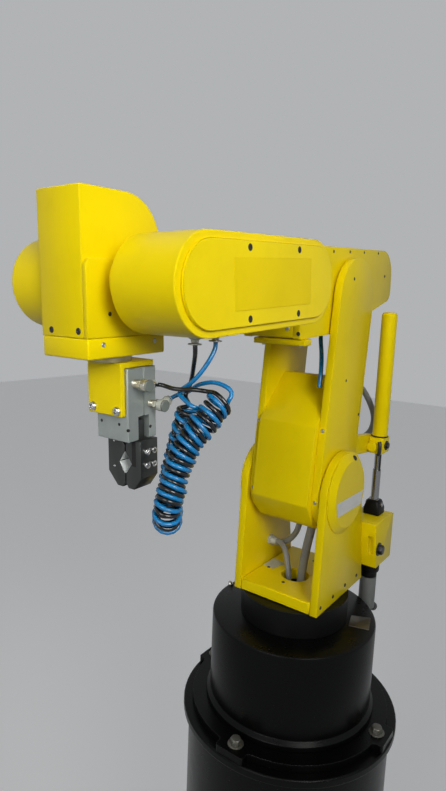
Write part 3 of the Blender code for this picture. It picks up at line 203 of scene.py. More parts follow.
def metal(name, colour, roughness, grain=(1.0, 1.0, 1.0), brush=0.03, stain=0.12, metallic=1.0):
    """Bare metal: tool marks along one way, slight stains, rounded light on the edges."""
    material, tree, bsdf = shader(name)
    where = object_place(tree)
    stretched = put(tree, "ShaderNodeMapping", {"Vector": where, "Scale": grain}).outputs[0]
    lines = noise(tree, stretched, 420.0, 3.0, 0.6)
    stops = [(0.30, scaled(colour, 1.0 - stain)), (0.55, colour), (0.75, scaled(colour, 1.0 + stain / 3))]
    feed(bsdf, {
        "Base Color": ramp(tree, noise(tree, where, 26.0, 5.0, 0.6), stops),
        "Metallic": metallic,
        "Roughness": spread(tree, lines, max(0.03, roughness - 0.08), roughness + 0.10),
        "Normal": bumped(tree, lines, 0.5, brush * 0.001, Normal=rounded_normal(tree, METAL_EDGE)),
    })
    return material


def moulded(name, colour, roughness, coat=0.0, transmission=0.0, haze=0.10):
    """Moulded plastic: fine grain, slight haze and uneven sheen."""
    material, tree, bsdf = shader(name)
    where = object_place(tree)
    cloud = noise(tree, where, 40.0, 4.0, 0.6)
    stops = [(0.32, scaled(colour, 1.0 - haze)), (0.55, colour), (0.78, scaled(colour, 1.0 + haze))]
    feed(bsdf, {
        "Base Color": ramp(tree, cloud, stops),
        "Roughness": spread(tree, cloud, roughness - 0.06, roughness + 0.08),
        "Coat Weight": coat,
        "Transmission Weight": transmission,
        "Normal": bumped(tree, noise(tree, where, 700.0, 2.0), 0.5, 0.00004),
    })
    return material


YELLOW = (0.83, 0.645, 0.0012)
FILM_YELLOW = (0.76, 0.58, 0.0015)
WARM = (1.0, 0.80, 0.05)
GLOSS_BLACK, RUBBED_GLOSS = (0.0016, 0.0019, 0.0016), (0.030, 0.031, 0.030)
SATIN_BLACK, RUBBED_SATIN = (0.0030, 0.0033, 0.0031), (0.040, 0.041, 0.040)
ANODISED = (0.40, 0.445, 0.43)
GROUND = (0.075, 0.080, 0.078)
yellow = paint("yellow_paint", YELLOW, 0.36, 0.02, wear=(0.92, 0.76, 0.05), dust=0.10, shine=0.50, tint=WARM)
yellow_label = paint("yellow_film", FILM_YELLOW, 0.46, 0.01, dust=0.05, shine=0.40, tint=WARM)
black_gloss = paint("black_gloss_paint", GLOSS_BLACK, 0.26, 0.0, RUBBED_GLOSS, peel=0.02, dust=0.2, shine=0.14)
black_satin = paint("black_satin_paint", SATIN_BLACK, 0.40, 0.0, RUBBED_SATIN, dust=0.2, shine=0.16)
bright_steel = metal("bright_ground_steel", grey(0.66), 0.22, grain=(1.0, 1.0, 0.06), brush=0.04)
screw_steel = metal("ground_screw_steel", (0.36, 0.36, 0.37), 0.24, grain=(1.0, 1.0, 6.0), brush=0.02, stain=0.10)
zinc = metal("zinc_plated", (0.42, 0.43, 0.42), 0.34, brush=0.02, metallic=0.8)
old_zinc = metal("weathered_zinc", (0.17, 0.165, 0.14), 0.46, brush=0.05, stain=0.30, metallic=0.7)
blackened = metal("blackened_screw", (0.045, 0.045, 0.050), 0.34, metallic=0.8, brush=0.03)
aluminium_anodised = metal("clear_anodised_aluminium", ANODISED, 0.36, (1.0, 1.0, 0.10), 0.06, 0.20, 0.55)
facet_steel = metal("pale_ground_facets", (0.62, 0.66, 0.66), 0.36, grain=(1.0, 1.0, 0.1), brush=0.04, metallic=0.25)
finger_steel = metal("dark_ground_finger_steel", GROUND, 0.34, grain=(1.0, 1.0, 0.08), brush=0.05, metallic=0.75)
# painted reflection: the steel's yellow tint stands for the yellow paint that it reflects
steel_with_painted_yellow_reflection = metal("steel_painted_with_yellow_reflection", (0.36, 0.31, 0.16), 0.34, brush=0.03)
motor_grey = metal("dull_motor_body", (0.20, 0.21, 0.20), 0.50, brush=0.05, metallic=0.35)
nickel = metal("nickel_fitting", (0.66, 0.65, 0.58), 0.24, brush=0.02, metallic=0.8)
brass = metal("pale_brass_stem", (0.62, 0.59, 0.49), 0.28, brush=0.02, metallic=0.8)
foil = metal("silver_label_foil", (0.74, 0.75, 0.73), 0.34, grain=(1.0, 0.2, 1.0), brush=0.02, metallic=0.45)
grey_cap = moulded("grey_green_cap", (0.16, 0.18, 0.165), 0.42)
clear_port = moulded("milky_port_plastic", (0.60, 0.62, 0.58), 0.28, coat=0.3)
clear_collar = moulded("milky_clear_plastic", (0.60, 0.62, 0.55), 0.30, coat=0.3, transmission=0.35)
blue_hose = moulded("blue_polyurethane_hose", (0.0010, 0.170, 0.430), 0.26, coat=0.18)
black_hose = moulded("black_polyurethane_hose", (0.0040, 0.0045, 0.0050), 0.20, coat=0.25)
grey_cable = moulded("grey_cable_jacket", (0.235, 0.245, 0.255), 0.46, haze=0.14)
black_plastic = moulded("black_moulded_plastic", (0.022, 0.022, 0.024), 0.40)
# painted shade: a flat near-black that is put where holes and recesses are in shadow
shadow_black = moulded("painted_shade_black", (0.006, 0.006, 0.006), 0.85)

# the CAD nodes that are shown and aren't yellow
FINISH = {
    "pedestal_foot": black_satin,
    "pedestal_column": black_gloss,
    "pedestal_top_plate": black_gloss,
    "base_flange": black_gloss,
    "base_casting": black_gloss,
    "turntable": black_satin,
    "drive_screw": screw_steel,
    "drive_motor": motor_grey,
    "tool_flange": steel_with_painted_yellow_reflection,
    "gripper_body": aluminium_anodised,
}
EDGE_ROUND = {
    "drive_screw": 0.0002,
    "upper_arm_motor_cover": 0.005,
    "bracket_left_ear": 0.0024,
    "bracket_right_ear": 0.0024,
    "bracket_base": 0.0012,
    "hand_ear_plate": 0.0018,
}


def joining_group():
    """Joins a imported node's triangles at their edges and shades its round faces smooth, its real edges sharp."""
    group = bpy.data.node_groups.new("joined_and_smooth", "GeometryNodeTree")
    for way in ("INPUT", "OUTPUT"):
        group.interface.new_socket("Geometry", in_out=way, socket_type="NodeSocketGeometry")
    shape = put(group, "NodeGroupInput").outputs[0]
    shape = put(group, "GeometryNodeRemoveAttribute", {0: shape, "Name": "custom_normal"}).outputs[0]
    shape = put(group, "GeometryNodeMergeByDistance", {"Geometry": shape, "Distance": WELD}).outputs[0]
    shape = put(group, "GeometryNodeSetShadeSmooth", {"Geometry": shape}, domain="FACE").outputs[0]
    angle = put(group, "GeometryNodeInputMeshEdgeAngle").outputs["Unsigned Angle"]
    gentle = put(group, "FunctionNodeCompare", {0: angle, 1: math.radians(28.0)}, operation="LESS_THAN").outputs[0]
    inputs = {"Geometry": shape, "Shade Smooth": gentle}
    put(group, "NodeGroupOutput", {0: put(group, "GeometryNodeSetShadeSmooth", inputs, domain="EDGE").outputs[0]})
    return group


def round_edges(piece, width):
    edges = piece.modifiers.new("edges", "BEVEL")
    edges.width = width
    edges.segments = 2
    edges.limit_method = "ANGLE"
    edges.angle_limit = math.radians(40.0)


joined_and_smooth = joining_group()
for name, node in nodes.items():
    node.data.materials.clear()
    node.data.materials.append(FINISH.get(name, yellow))
    node.modifiers.new("joined", "NODES").node_group = joined_and_smooth
    round_edges(node, EDGE_ROUND.get(name, PIECE_EDGE))


def finish_mesh(name, bm, material, body, angle=40.0):
    """Makes a piece of the mesh with the given materials. It rides on the body when one is given."""
    mesh = bpy.data.meshes.new(name)
    bmesh.ops.recalc_face_normals(bm, faces=bm.faces[:])
    for edge in bm.edges:
        edge.smooth = len(edge.link_faces) == 2 and edge.calc_face_angle(0.0) < math.radians(angle)
    for face in bm.faces:
        face.smooth = True
    bm.to_mesh(mesh)
    bm.free()
    materials = material if isinstance(material, (list, tuple)) else [material]
    for m in materials:
        mesh.materials.append(m)
    piece = bpy.data.objects.new(name, mesh)
    bpy.context.scene.collection.objects.link(piece)
    if body:
        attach(piece, body)
    return piece


def facing(direction, twist=0.0):
    """The turn that takes +Z to the direction."""
    return Vector(direction).normalized().to_track_quat("Z", "Y").to_matrix() @ Matrix.Rotation(twist, 3, "Z")


def lathe(bm, profile, centre, direction, sides=32, twist=0.0, index=0):
    """Rings along a direction. A ring is (radius, height) or (apothem, height, corners) for a polygon's outline."""
    turn = facing(direction, twist)
    rings = []
    for ring in profile:
        radius, height, corners = (*ring, 0)[:3]
        if radius <= 0.0:
            rings.append([bm.verts.new(Vector(centre) + turn @ Vector((0.0, 0.0, height)))])
            continue
        points = []
        for i in range(sides):
            angle = 2 * math.pi * i / sides
            reach = radius
            if corners:
                step = 2 * math.pi / corners
                reach = radius / math.cos((angle % step) - step / 2)
            spot = Vector((reach * math.cos(angle), reach * math.sin(angle), height))
            points.append(bm.verts.new(Vector(centre) + turn @ spot))
        rings.append(points)
    for low, high in zip(rings, rings[1:]):
        if len(low) == 1 and len(high) == 1:
            continue
        for i in range(sides):
            j = (i + 1) % sides
            if len(low) == 1:
                face = bm.faces.new((low[0], high[j], high[i]))
            elif len(high) == 1:
                face = bm.faces.new((low[i], low[j], high[0]))
            else:
                face = bm.faces.new((low[i], low[j], high[j], high[i]))
            face.material_index = index


def turned(name, body, material, shapes, angle=40.0):
    """One piece of several lathe shapes, each given as lathe takes it."""
    bm = bmesh.new()
    for shape in shapes:
        lathe(bm, *shape)
    return finish_mesh(name, bm, material, body, angle)


def skin(bm, rings):
    """Faces between the rings, and one over each end."""
    for low, high in zip(rings, rings[1:]):
        for i in range(len(low)):
            j = (i + 1) % len(low)
            bm.faces.new((low[i], low[j], high[j], high[i]))
    bm.faces.new(rings[0][::-1])
    bm.faces.new(rings[-1])


def cap_profile(r, h):
    """A socket head cap screw's head, from its seat to the bottom of the hexagon socket."""
    bevel = r * 0.12
    socket = 0.52
    return [
        (0.0, 0.0), (r * 0.97, 0.0), (r, r * 0.04), (r, h - bevel), (r - bevel * 0.35, h - bevel * 0.30),
        (r - bevel, h), (r * socket * 1.12, h), (r * socket, h - r * 0.06, 6), (r * socket * 0.98, h * 0.42, 6),
        (0.0, h * 0.36),
    ]


def button_profile(r, h):
    socket = 0.46
    return [
        (0.0, 0.0), (r, 0.0), (r * 0.99, h * 0.22), (r * 0.90, h * 0.58), (r * 0.74, h * 0.86), (r * 0.56, h),
        (r * socket, h, 6), (r * socket * 0.96, h * 0.35, 6), (0.0, h * 0.30),
    ]


def hex_profile(r, h):
    """A hexagon head, r to its corners."""
    flat = r * 0.866
    return [
        (0.0, 0.0), (r * 0.80, 0.0), (flat, h * 0.05, 6), (flat, h * 0.82, 6), (r * 0.82, h * 0.97),
        (r * 0.70, h), (0.0, h),
    ]


def flush_profile(r):
    """A screw sunk flush: a thin rim of head, its socket, and the dark line round it."""
    socket, lift, depth = 0.50, 0.00012, 0.0012
    return [
        (r * 1.10, -0.00005), (r * 1.08, lift * 0.5), (r * 1.0, lift * 0.2), (r * 0.97, lift), (r * 0.80, lift * 1.6),
        (r * socket * 1.08, lift * 1.6), (r * socket, lift, 6), (r * socket * 0.97, -depth * 0.02 + 0.00002, 6),
        (0.0, 0.00002),
    ]


HEADS = {"cap": cap_profile, "button": button_profile, "hex": hex_profile}
WASHER_THICK = 0.0015


def screws(name, body, material, radius, height, places, kind="cap", washer=0.0):
    """One piece of several like screws. A place is (point, outward direction)."""
    profile = flush_profile(radius) if kind == "flush" else HEADS[kind](radius, height)
    ring = [(0.0, 0.0), (washer, 0.0), (washer, 0.0012), (washer * 0.94, WASHER_THICK), (0.0, WASHER_THICK)]
    shapes = []
    for number, (point, direction) in enumerate(places):
        foot = Vector(point)
        way = Vector(direction).normalized()
        twist = 0.7 * number
        if washer:
            shapes.append((ring, foot, way, 28, twist, 1))
            foot = foot + way * WASHER_THICK
        shapes.append((profile, foot, way, 24, twist, 0))
    materials = [material, material if material in (blackened, old_zinc) else zinc] if washer else [material]
    return turned(name, body, materials, shapes, 32.0)


def smooth_path(points, step):
    """A Catmull-Rom line through the points, with its points a step apart."""
    points = [Vector(p) for p in points]
    padded = [points[0] * 2 - points[1], *points, points[-1] * 2 - points[-2]]
    line = []
    for a, b, c, d in zip(padded, padded[1:], padded[2:], padded[3:]):
        count = max(2, round((c - b).length / step))
        for i in range(count):
            t = i / count
            curve = 2 * b + (c - a) * t + (2 * a - 5 * b + 4 * c - d) * t * t + (3 * b - a - 3 * c + d) * t * t * t
            line.append(0.5 * curve)
    line.append(points[-1])
    return line


def tube(name, path, radius, material, body=None, sides=14):
    """A round hose along a path, closed at both ends."""
    bm = bmesh.new()
    rings = []
    side = (path[1] - path[0]).normalized().orthogonal().normalized()
    turns = [2 * math.pi * k / sides for k in range(sides)]
    for i, p in enumerate(path):
        along = (path[min(i + 1, len(path) - 1)] - path[max(i - 1, 0)]).normalized()
        side = (side - along * side.dot(along)).normalized()
        other = along.cross(side)
        rings.append([bm.verts.new(p + (side * math.cos(a) + other * math.sin(a)) * radius) for a in turns])
    skin(bm, rings)
    return finish_mesh(name, bm, material, body, 60.0)


def path_length(path):
    return sum((b - a).length for a, b in zip(path, path[1:]))


# ---------------- air hoses
# in metres from the wrist
COIL = [
    (-0.0436, 0.0980, -0.0944), (-0.0342, 0.0948, -0.1044), (-0.0258, 0.0908, -0.1166), (-0.0175, 0.0848, -0.1285),
    (-0.0106, 0.0807, -0.1420), (-0.0058, 0.0789, -0.1600), (-0.0005, 0.0780, -0.1740), (0.0022, 0.0780, -0.1840),
    (-0.0016, 0.0749, -0.1959), (-0.0109, 0.0674, -0.2009), (-0.0202, 0.0599, -0.1959), (-0.0240, 0.0568, -0.1840),
    (-0.0295, 0.0560, -0.1710), (-0.0345, 0.0560, -0.1530), (-0.0377, 0.0595, -0.1310), (-0.0380, 0.0657, -0.1137),
    (-0.0397, 0.0664, -0.1025),
]
FRONT_PORT = [
    (-0.01805, 0.0860, -0.0480), (-0.0186, 0.0860, -0.0550), (-0.0280, 0.0770, -0.0668), (-0.0403, 0.0650, -0.0802),
    (-0.0408, 0.0615, -0.0896), (-0.0374, 0.0605, -0.0957),
]
REAR_PORT = [
    (-0.0459, 0.0860, -0.0461), (-0.0463, 0.0860, -0.0510), (-0.0409, 0.0840, -0.0617), (-0.0365, 0.0780, -0.0733),
    (-0.0344, 0.0700, -0.0823), (-0.0358, 0.0600, -0.0882), (-0.0340, 0.0560, -0.0937),
]
BLACK_TO_FITTING = [
    (-0.0379, 0.0862, -0.0889), (-0.0341, 0.0805, -0.0880), (-0.0317, 0.0730, -0.0880), (-0.0302, 0.0640, -0.0887),
    (-0.0272, 0.0550, -0.0889),
]
BLUE_TO_FITTING = [
    (-0.0457, 0.1019, -0.0961), (-0.0479, 0.1031, -0.0932), (-0.0505, 0.1030, -0.0885), (-0.0490, 0.0990, -0.0850),
    (-0.0494, 0.0910, -0.0828), (-0.0492, 0.0810, -0.0821), (-0.0501, 0.0670, -0.0856), (-0.0530, 0.0570, -0.0902),
    (-0.0520, 0.0535, -0.0938),
]
HOSE_RADIUS = 0.0020
TIGHT_PITCH = 0.0086
LOOSE_PITCH = 0.0118
POINTS_PER_TURN = 14
LEAD_STEP = 0.0025  # between the points of a hose's leads
LEAD_EASE = 4  # points of the winding that a lead takes the place of
SMOOTHINGS = 3
SHORTEST_CORD = 0.033
BEND_POINTS = 8  # BEND_POINTS = 8 # points before the route to the fitting that go into the hose's middle piece, which rides on no body
UPPER_OUTLET = Vector((WRIST.x - 0.0197, WRIST.y + 0.0406, WRIST.z - 0.0863))
LOWER_OUTLET = Vector((WRIST.x - 0.0402, WRIST.y + 0.0406, WRIST.z - 0.1012))


def at_wrist(points):
    return [WRIST + Vector(p) for p in points]


def coil_line():
    """The coil's centre line, from the ports' side to the gripper's, with a frame that doesn't twist."""
    line = smooth_path(at_wrist(COIL)[::-1], TIGHT_PITCH / POINTS_PER_TURN)
    frames = []
    travelled = 0.0
    for i, p in enumerate(line):
        along = (line[min(i + 1, len(line) - 1)] - line[max(i - 1, 0)]).normalized()
        if i:
            travelled += (p - line[i - 1]).length
        else:
            side = along.cross(LOOK).normalized()
        side = (side - along * side.dot(along)).normalized()
        frames.append((p, side.copy(), along.cross(side), travelled))
    return frames


def wound(phase, wobble, radius):
    """A hose wound on the coil's centre line, starting at an angle."""
    points = []
    frames = coil_line()
    whole = frames[-1][3]
    angle_along = phase
    last = 0.0
    for p, side, other, travelled in frames:
        # the turns near the ends are pulled further apart
        pull = abs(2.0 * travelled / whole - 1.0) ** 2.2
        angle_along += 2 * math.pi * (travelled - last) / (TIGHT_PITCH + (LOOSE_PITCH - TIGHT_PITCH) * pull)
        last = travelled
        angle = angle_along
        angle += 0.38 * math.sin(travelled * 160.0 + wobble) + 0.20 * math.sin(travelled * 390.0 + 1.7 * wobble)
        slack = 1.0 + 0.055 * math.sin(travelled * 210.0 + wobble)
        slack += 0.045 * math.sin(travelled * 530.0 + 2.1 * wobble)
        r = radius * slack
        points.append(p + side * (math.cos(angle) * r) - other * (math.sin(angle) * r))
    return points


def joined(before, winding, after):
    """One line from a lead-in through the winding to a lead-out, each meeting it on a smooth bend."""
    lead_in = smooth_path(before + [winding[LEAD_EASE]], LEAD_STEP)[:-1]
    lead_out = smooth_path([winding[-1 - LEAD_EASE]] + after, LEAD_STEP)[1:]
    line = lead_in + winding[LEAD_EASE : len(winding) - LEAD_EASE] + lead_out
    for _ in range(SMOOTHINGS):
        line = [line[0]] + [(a + b * 2 + c) / 4 for a, b, c in zip(line, line[1:], line[2:])] + [line[-1]]
    return line


# colour, material, phase, wobble, radius, route from its port, route to its fitting, outlet, rise before and after the
# outlet, CAD nodes that the coiled part stands for
hoses = (
    ("black", black_hose, 0.0, 1.3, 0.0116, FRONT_PORT, BLACK_TO_FITTING, UPPER_OUTLET, 0.0, 0.0,
     ["hose_coil", "black_hose_front_port"]),
    ("blue", blue_hose, math.pi, 0.2, 0.0126, REAR_PORT, BLUE_TO_FITTING, LOWER_OUTLET, 0.0028, -0.0012,
     ["blue_hose_rear_port"]),
)
for colour, material, phase, wobble, radius, port_route, fitting_route, outlet, rise, drop, replaced in hoses:
    to_fitting = at_wrist(fitting_route)
    ending = [outlet + Vector((-0.0055, 0.0015, rise)), outlet, outlet + Vector((0.0030, 0.0, drop))]
    whole = joined(at_wrist(port_route), wound(phase, wobble, radius), to_fitting + ending)
    split = min(range(len(whole)), key=lambda i: (whole[i] - to_fitting[0]).length)
    # the far part is long enough to be a cord of its own
    middle = len(whole) - 1
    while path_length(whole[middle:]) < SHORTEST_CORD:
        middle -= 1
    start = min(split, middle) - BEND_POINTS
    paths = (whole[: start + 1], whole[start : middle + 1], whole[middle:])
    held, near, far = paths
    main = tube(f"air_hose_{colour}", held, HOSE_RADIUS, material, "forearm", 12)
    near_piece = tube(f"air_hose_{colour}_to_hand", near, HOSE_RADIUS, material, None, 12)
    far_piece = tube(f"air_hose_{colour}_to_gripper", far, HOSE_RADIUS, material, None, 12)
    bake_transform(near_piece)
    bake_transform(far_piece)
    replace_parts(main, *replaced)
    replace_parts(far_piece, f"{colour}_hose_to_gripper")

# ---------------- screws, labels and small fittings
trees = {}
RAY_START = 0.15  # outside the part, in metres from the place aimed at


def on_node(name, place, outward):
    """The point of a CAD node's surface that is met when coming in along -outward towards the place."""
    if name not in trees:
        mesh = nodes[name].data
        faces = [tuple(p.vertices) for p in mesh.polygons]
        trees[name] = BVHTree.FromPolygons([v.co.copy() for v in mesh.vertices], faces)
    way = Vector(outward).normalized()
    hit, normal, _, _ = trees[name].ray_cast(Vector(place) + way * RAY_START, -way)
    if hit is None:
        hit, normal, _, _ = trees[name].find_nearest(Vector(place))
    return hit, normal


def mm(x, y, z):
    """Millimetres, with z from the bracket's underside."""
    return Vector((x / 1000, y / 1000, TURRET_TOP + z / 1000))


def wr(x, y, z):
    """Millimetres from the wrist's centre, along the row frame."""
    return WRIST + Vector((x, y, z)) / 1000


def tool_point(x, y, h):
    """Millimetres from the wrist along the pitched gripper."""
    return WRIST + TOOL_FRONT * (x / 1000) + LEFT * (y / 1000) + TOOL_RISE * (h / 1000)


def driven(name, body, node, places, outward, radius, height, material=blackened, kind="button", washer=0.0):
    """Screws seated on a CAD node's surface, where a line from outside meets it near each place."""
    spots = [on_node(node, place, outward) for place in places]
    return screws(name, body, material, radius, height, spots, kind, washer)


# forearm side covers
COVER_SCREWS = [(-47.6, 32.8), (-129.5, 39.2), (-52.6, -25.2), (-134.4, -19.2)]
for side, way, y in (("left", LEFT, 117), ("right", RIGHT, -84)):
    places = [wr(x, y, z) for x, z in COVER_SCREWS]
    driven(f"forearm_{side}_cover_screws", "forearm", f"forearm_{side}_side_cover", places, way, 0.0031, 0.0006)

# hand
places = [wr(48, -16.6, -40.2), wr(48, 17.8, -39.8)]
driven("hand_cover_screws", "hand", "hand_cover", places, FRONT, 0.0029, 0.0006)
places = [wr(-40, -16.6, -36), wr(-40, 17.8, -36)]
driven("hand_cover_screws_rear", "hand", "hand_cover", places, -FRONT, 0.0029, 0.0006)
driven("hand_ear_screw", "hand", "hand_ear_plate", [wr(23.5, 32, -25.3)], LEFT, 0.0019, 0.0004)
for name, way, y in (("hand_block_screws", LEFT, 29), ("hand_block_screws_right", RIGHT, -29)):
    driven(name, "hand", "hand_block", [wr(30.2, y, -50.5), wr(-30.0, y, -48.2)], way, 0.0022, 0.0006, zinc)

# gripper
places = [wr(0, -13.9, -109.8), wr(0, 17.2, -110.5)]
driven("gripper_bracket_screws", "tool", "gripper_angle_bracket", places, FRONT, 0.0043, 0.0030, bright_steel)
# painted shade: the gripper's holes are flat near-black discs that stand for the shadow inside them
places = [wr(0, -9.5, -123.4), wr(0, 13.6, -123.8)]
driven("gripper_front_holes_painted_shade", "tool", "gripper_body", places, FRONT, 0.0014, 0.0002, shadow_black, "flush")
places = [wr(-3.0, 25, -127.9), wr(-31.0, 25, -127.9)]
driven("gripper_side_holes_painted_shade", "tool", "gripper_body", places, LEFT, 0.0014, 0.0002, shadow_black, "flush")

# elbow
ELBOW_EDGE_SCREWS = [(26.4, 483.0), (-23.7, 487.6), (-71.4, 491.4), (-124.5, 495.4)]
ELBOW_SIDE_SCREWS = [(-40.1, 452.6), (-157.2, 463.8)]
for side, way, y in (("left", LEFT, 60), ("right", RIGHT, -60)):
    for kind, spots, radius in (("edge", ELBOW_EDGE_SCREWS, 0.0021), ("side", ELBOW_SIDE_SCREWS, 0.0023)):
        places = [mm(x, y, z) for x, z in spots]
        driven(f"elbow_{side}_{kind}_screws", "elbow", f"elbow_{side}_side_plate", places, way, radius, 0.0005)
places = [mm(103, 23.1, 384.8), mm(103, -23.1, 384.8)]
driven("elbow_front_screws", "elbow", "elbow_housing", places, FRONT, 0.0030, 0.0010, zinc)
driven("elbow_plate_front_screw", "elbow", "elbow_left_side_plate", [mm(103, 38.5, 378.4)], FRONT, 0.0026, 0.0010)
places = [mm(91, -18, 363.7), mm(91, 36, 363.7)]
driven("elbow_under_plate_screws", "elbow", "elbow_under_plate", places, -TOP, 0.0026, 0.0026, zinc, "cap")

# upper arm
ARM_PLATE_SCREWS = [(-13.2, 451), (-10.2, 314), (-62.4, 260.2)]
for side, way, sign in (("left", LEFT, 1), ("right", RIGHT, -1)):
    plate = f"upper_arm_{side}_plate"
    places = [mm(x, 70 * sign, z) for x, z in ARM_PLATE_SCREWS]
    driven(f"{plate}_screws", "upper_arm", plate, places, way, 0.0022, 0.0005)
    places = [mm(32, 49 * sign, 251), mm(46, 49 * sign, 154.3)]
    driven(f"upper_arm_{side}_edge_screws", "upper_arm", plate, places, FRONT, 0.0028, 0.0012, zinc)

# bracket
EAR_BOLTS = [(51.4, 10.7), (12.8, 11.2), (-27.1, 12.7), (-68.4, 12.3)]
for side, way, y in (("left", LEFT, 80), ("right", RIGHT, -80)):
    places = [mm(x, y, z) for x, z in EAR_BOLTS]
    driven(f"bracket_{side}_bolts", "turret", f"bracket_{side}_ear", places, way, 0.0027, 0.0010)
places = [mm(4.7, -43.5, 17.1), mm(32.1, -2.1, 17.1), mm(4.7, 43.5, 17.1), mm(-60.0, 0.0, 17.1)]
driven("bracket_floor_screws", "turret", "bracket_base", places, TOP, 0.0026, 0.0008)
cover = "shoulder_left_cover"
driven(f"{cover}_screw", "turret", cover, [mm(-12.4, 80, 208.2)], LEFT, 0.0040, 0.0020)
driven(f"{cover}_centre", "turret", cover, [mm(-3.1, 80, 162.0)], LEFT, 0.0018, 0.0004, yellow_label, "flush")
cover = "shoulder_right_cover"
driven(f"{cover}_screw", "turret", cover, [mm(-12.4, -80, 208.2)], RIGHT, 0.0040, 0.0020)

# base
FLANGE_BOLT_RING = 0.1414
angles = (0.0, math.pi / 2, math.pi, -math.pi / 2)
places = [Vector((FLANGE_BOLT_RING * math.cos(a), FLANGE_BOLT_RING * math.sin(a), FLANGE_TOP)) for a in angles]
driven("base_flange_bolts", "base", "base_flange", places, TOP, 0.0078, 0.0078, old_zinc, "hex", 0.0108)
driven("base_top_plug", "base", "base_casting", [mm(-1, -117, -38)], TOP, 0.0040, 0.0050, nickel)
places = [mm(-92.0, 95, 53)]
driven("drive_block_bolt", "turret", "drive_block", places, LEFT, 0.0076, 0.0060, blackened, "hex", 0.0104)
places = [Vector((0.127 * sx, 0.127 * sy, 0.0119)) for sx in (-1, 1) for sy in (-1, 1)]
driven("floor_anchor_bolts", "base", "pedestal_foot", places, TOP, 0.0100, 0.0090, old_zinc, "hex", 0.0150)

FILM_LIFT = 0.00002  # between a film and the face under it
FILM_THICK = 0.00015
PLATE_THICK = 0.0008


def decal(name, body, material, corners, outward, thick=FILM_THICK):
    """A thin plate or film on a flat face, from its corners in order round it. A plate's rim is rounded."""
    bm = bmesh.new()
    way = Vector(outward).normalized()
    low, high = [[bm.verts.new(Vector(c) + way * h) for c in corners] for h in (FILM_LIFT, thick)]
    skin(bm, [low, high])
    if thick >= PLATE_THICK:
        top_edges = [e for e in bm.edges if all(v in high for v in e.verts)]
        bmesh.ops.bevel(bm, geom=top_edges, offset=thick * 0.3, segments=2, affect="EDGES", profile=0.5)
    return finish_mesh(name, bm, material, body)


def rounded_corners(corners, reach, steps=4):
    """The corners with each cut off by a small arc."""
    points = []
    for i, c in enumerate(corners):
        before = (corners[i - 1] - c).normalized()
        after = (corners[(i + 1) % len(corners)] - c).normalized()
        for k in range(steps + 1):
            t = k / steps
            a = c + before * reach * (1 - t)
            b = c + after * reach * t
            points.append(a * (1 - t) + b * t)
    return points


# the films are bare, where the real ones are printed
SIDE_FILM = ((-25.6, 23.0), (-153.8, 33.7), (-156.5, -9.9), (-29.7, -19.5))
SHOULDER_FILM = ((40.5, 155.8), (-46.5, 154.6), (-41.0, 134.8), (35.5, 135.6))
FLOOR_FILM = ((3.0, -54.5), (6.0, -36.0), (-22.0, -30.0), (-27.0, -53.5))
BASE_PLATE = ((-40.0, 75.8), (-52.2, 101.1), (-19.5, 111.7), (-11.7, 83.6))
for side, way, face, order in (("left", LEFT, 1, 1), ("right", RIGHT, 0, -1)):
    face_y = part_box(f"forearm_{side}_side_cover")[face].y
    corners = [Vector((WRIST.x + x / 1000, face_y, WRIST.z + z / 1000)) for x, z in SIDE_FILM]
    decal(f"forearm_{side}_film", "forearm", yellow_label, rounded_corners(corners, 0.0015)[::order], way)
face_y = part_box("shoulder_left_cover")[1].y
corners = [Vector((x / 1000, face_y, TURRET_TOP + z / 1000)) for x, z in SHOULDER_FILM]
decal("shoulder_film", "turret", foil, rounded_corners(corners, 0.0012), LEFT)
film_white = moulded("pale_film", (0.46, 0.47, 0.43), 0.40)
corners = [mm(x, y, 17.15) for x, y in FLOOR_FILM]
decal("bracket_floor_film", "turret", film_white, rounded_corners(corners, 0.0012), TOP)
plate_metal = metal("dull_plate", (0.15, 0.135, 0.11), 0.45, stain=0.35)
casting_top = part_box("base_casting")[1].z
corners = [Vector((x / 1000, y / 1000, casting_top)) for x, y in BASE_PLATE]
decal("base_plate", "base", plate_metal, rounded_corners(corners, 0.0012), TOP, PLATE_THICK)


def fitting(name, node, foot_local, outlet_length, outlet_rise, arm_radius, body_material):
    """An air fitting: threaded stem, body with its cap, and an arm with a push-in collar."""
    foot = WRIST + TOOL_FRONT * foot_local[0] + TOOL_RISE * foot_local[1]
    foot.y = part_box("gripper_body")[1].y
    stem = [(0.0, 0.0), (0.0036, 0.0), (0.0040, 0.0003)]
    h = 0.0006
    while h < 0.0050:
        stem += [(0.0040, h), (0.0036, h + 0.00035)]
        h += 0.0007
    stem += [(0.0033, 0.0052), (0.0033, 0.0062), (0.0044, 0.0064, 6), (0.0044, 0.0098, 6), (0.0035, 0.0100)]
    stem += [(0.0035, 0.0112), (0.0, 0.0112)]
    body = [(0.0, 0.0108), (0.0046, 0.0108), (0.0055, 0.0114), (0.0055, 0.0164), (0.0053, 0.0168), (0.0053, 0.0174)]
    cap = [(0.0055, 0.0172), (0.0056, 0.0183), (0.0051, 0.0189), (0.0, 0.0190)]
    centre = foot + LEFT * 0.0141
    out = -TOOL_FRONT * math.cos(outlet_rise) + TOOL_RISE * math.sin(outlet_rise)
    end = outlet_length
    arm = [
        (0.0, 0.0030), (arm_radius * 0.92, 0.0032), (arm_radius, 0.0042), (arm_radius, end - 0.0030),
        (arm_radius * 0.86, end - 0.0021), (0.0030, end - 0.0020),
    ]
    collar = [
        (0.0024, end - 0.0024), (0.0026, end - 0.0012), (0.0036, end - 0.0008), (0.0036, end - 0.0001),
        (0.0033, end), (0.0022, end - 0.0001), (0.0021, end - 0.0020), (0.0, end - 0.0024),
    ]
    shapes = [
        (stem, foot, LEFT, 36, 0.3, 1),
        (body, foot, LEFT, 36, 0.0, 0),
        (cap, foot, LEFT, 36, 0.0, 2),
        (arm, centre, out, 32, 0.0, 0),
        (collar, centre, out, 32, 0.0, 3),
    ]
    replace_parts(turned(name, "tool", [body_material, brass, grey_cap, clear_collar], shapes), node)


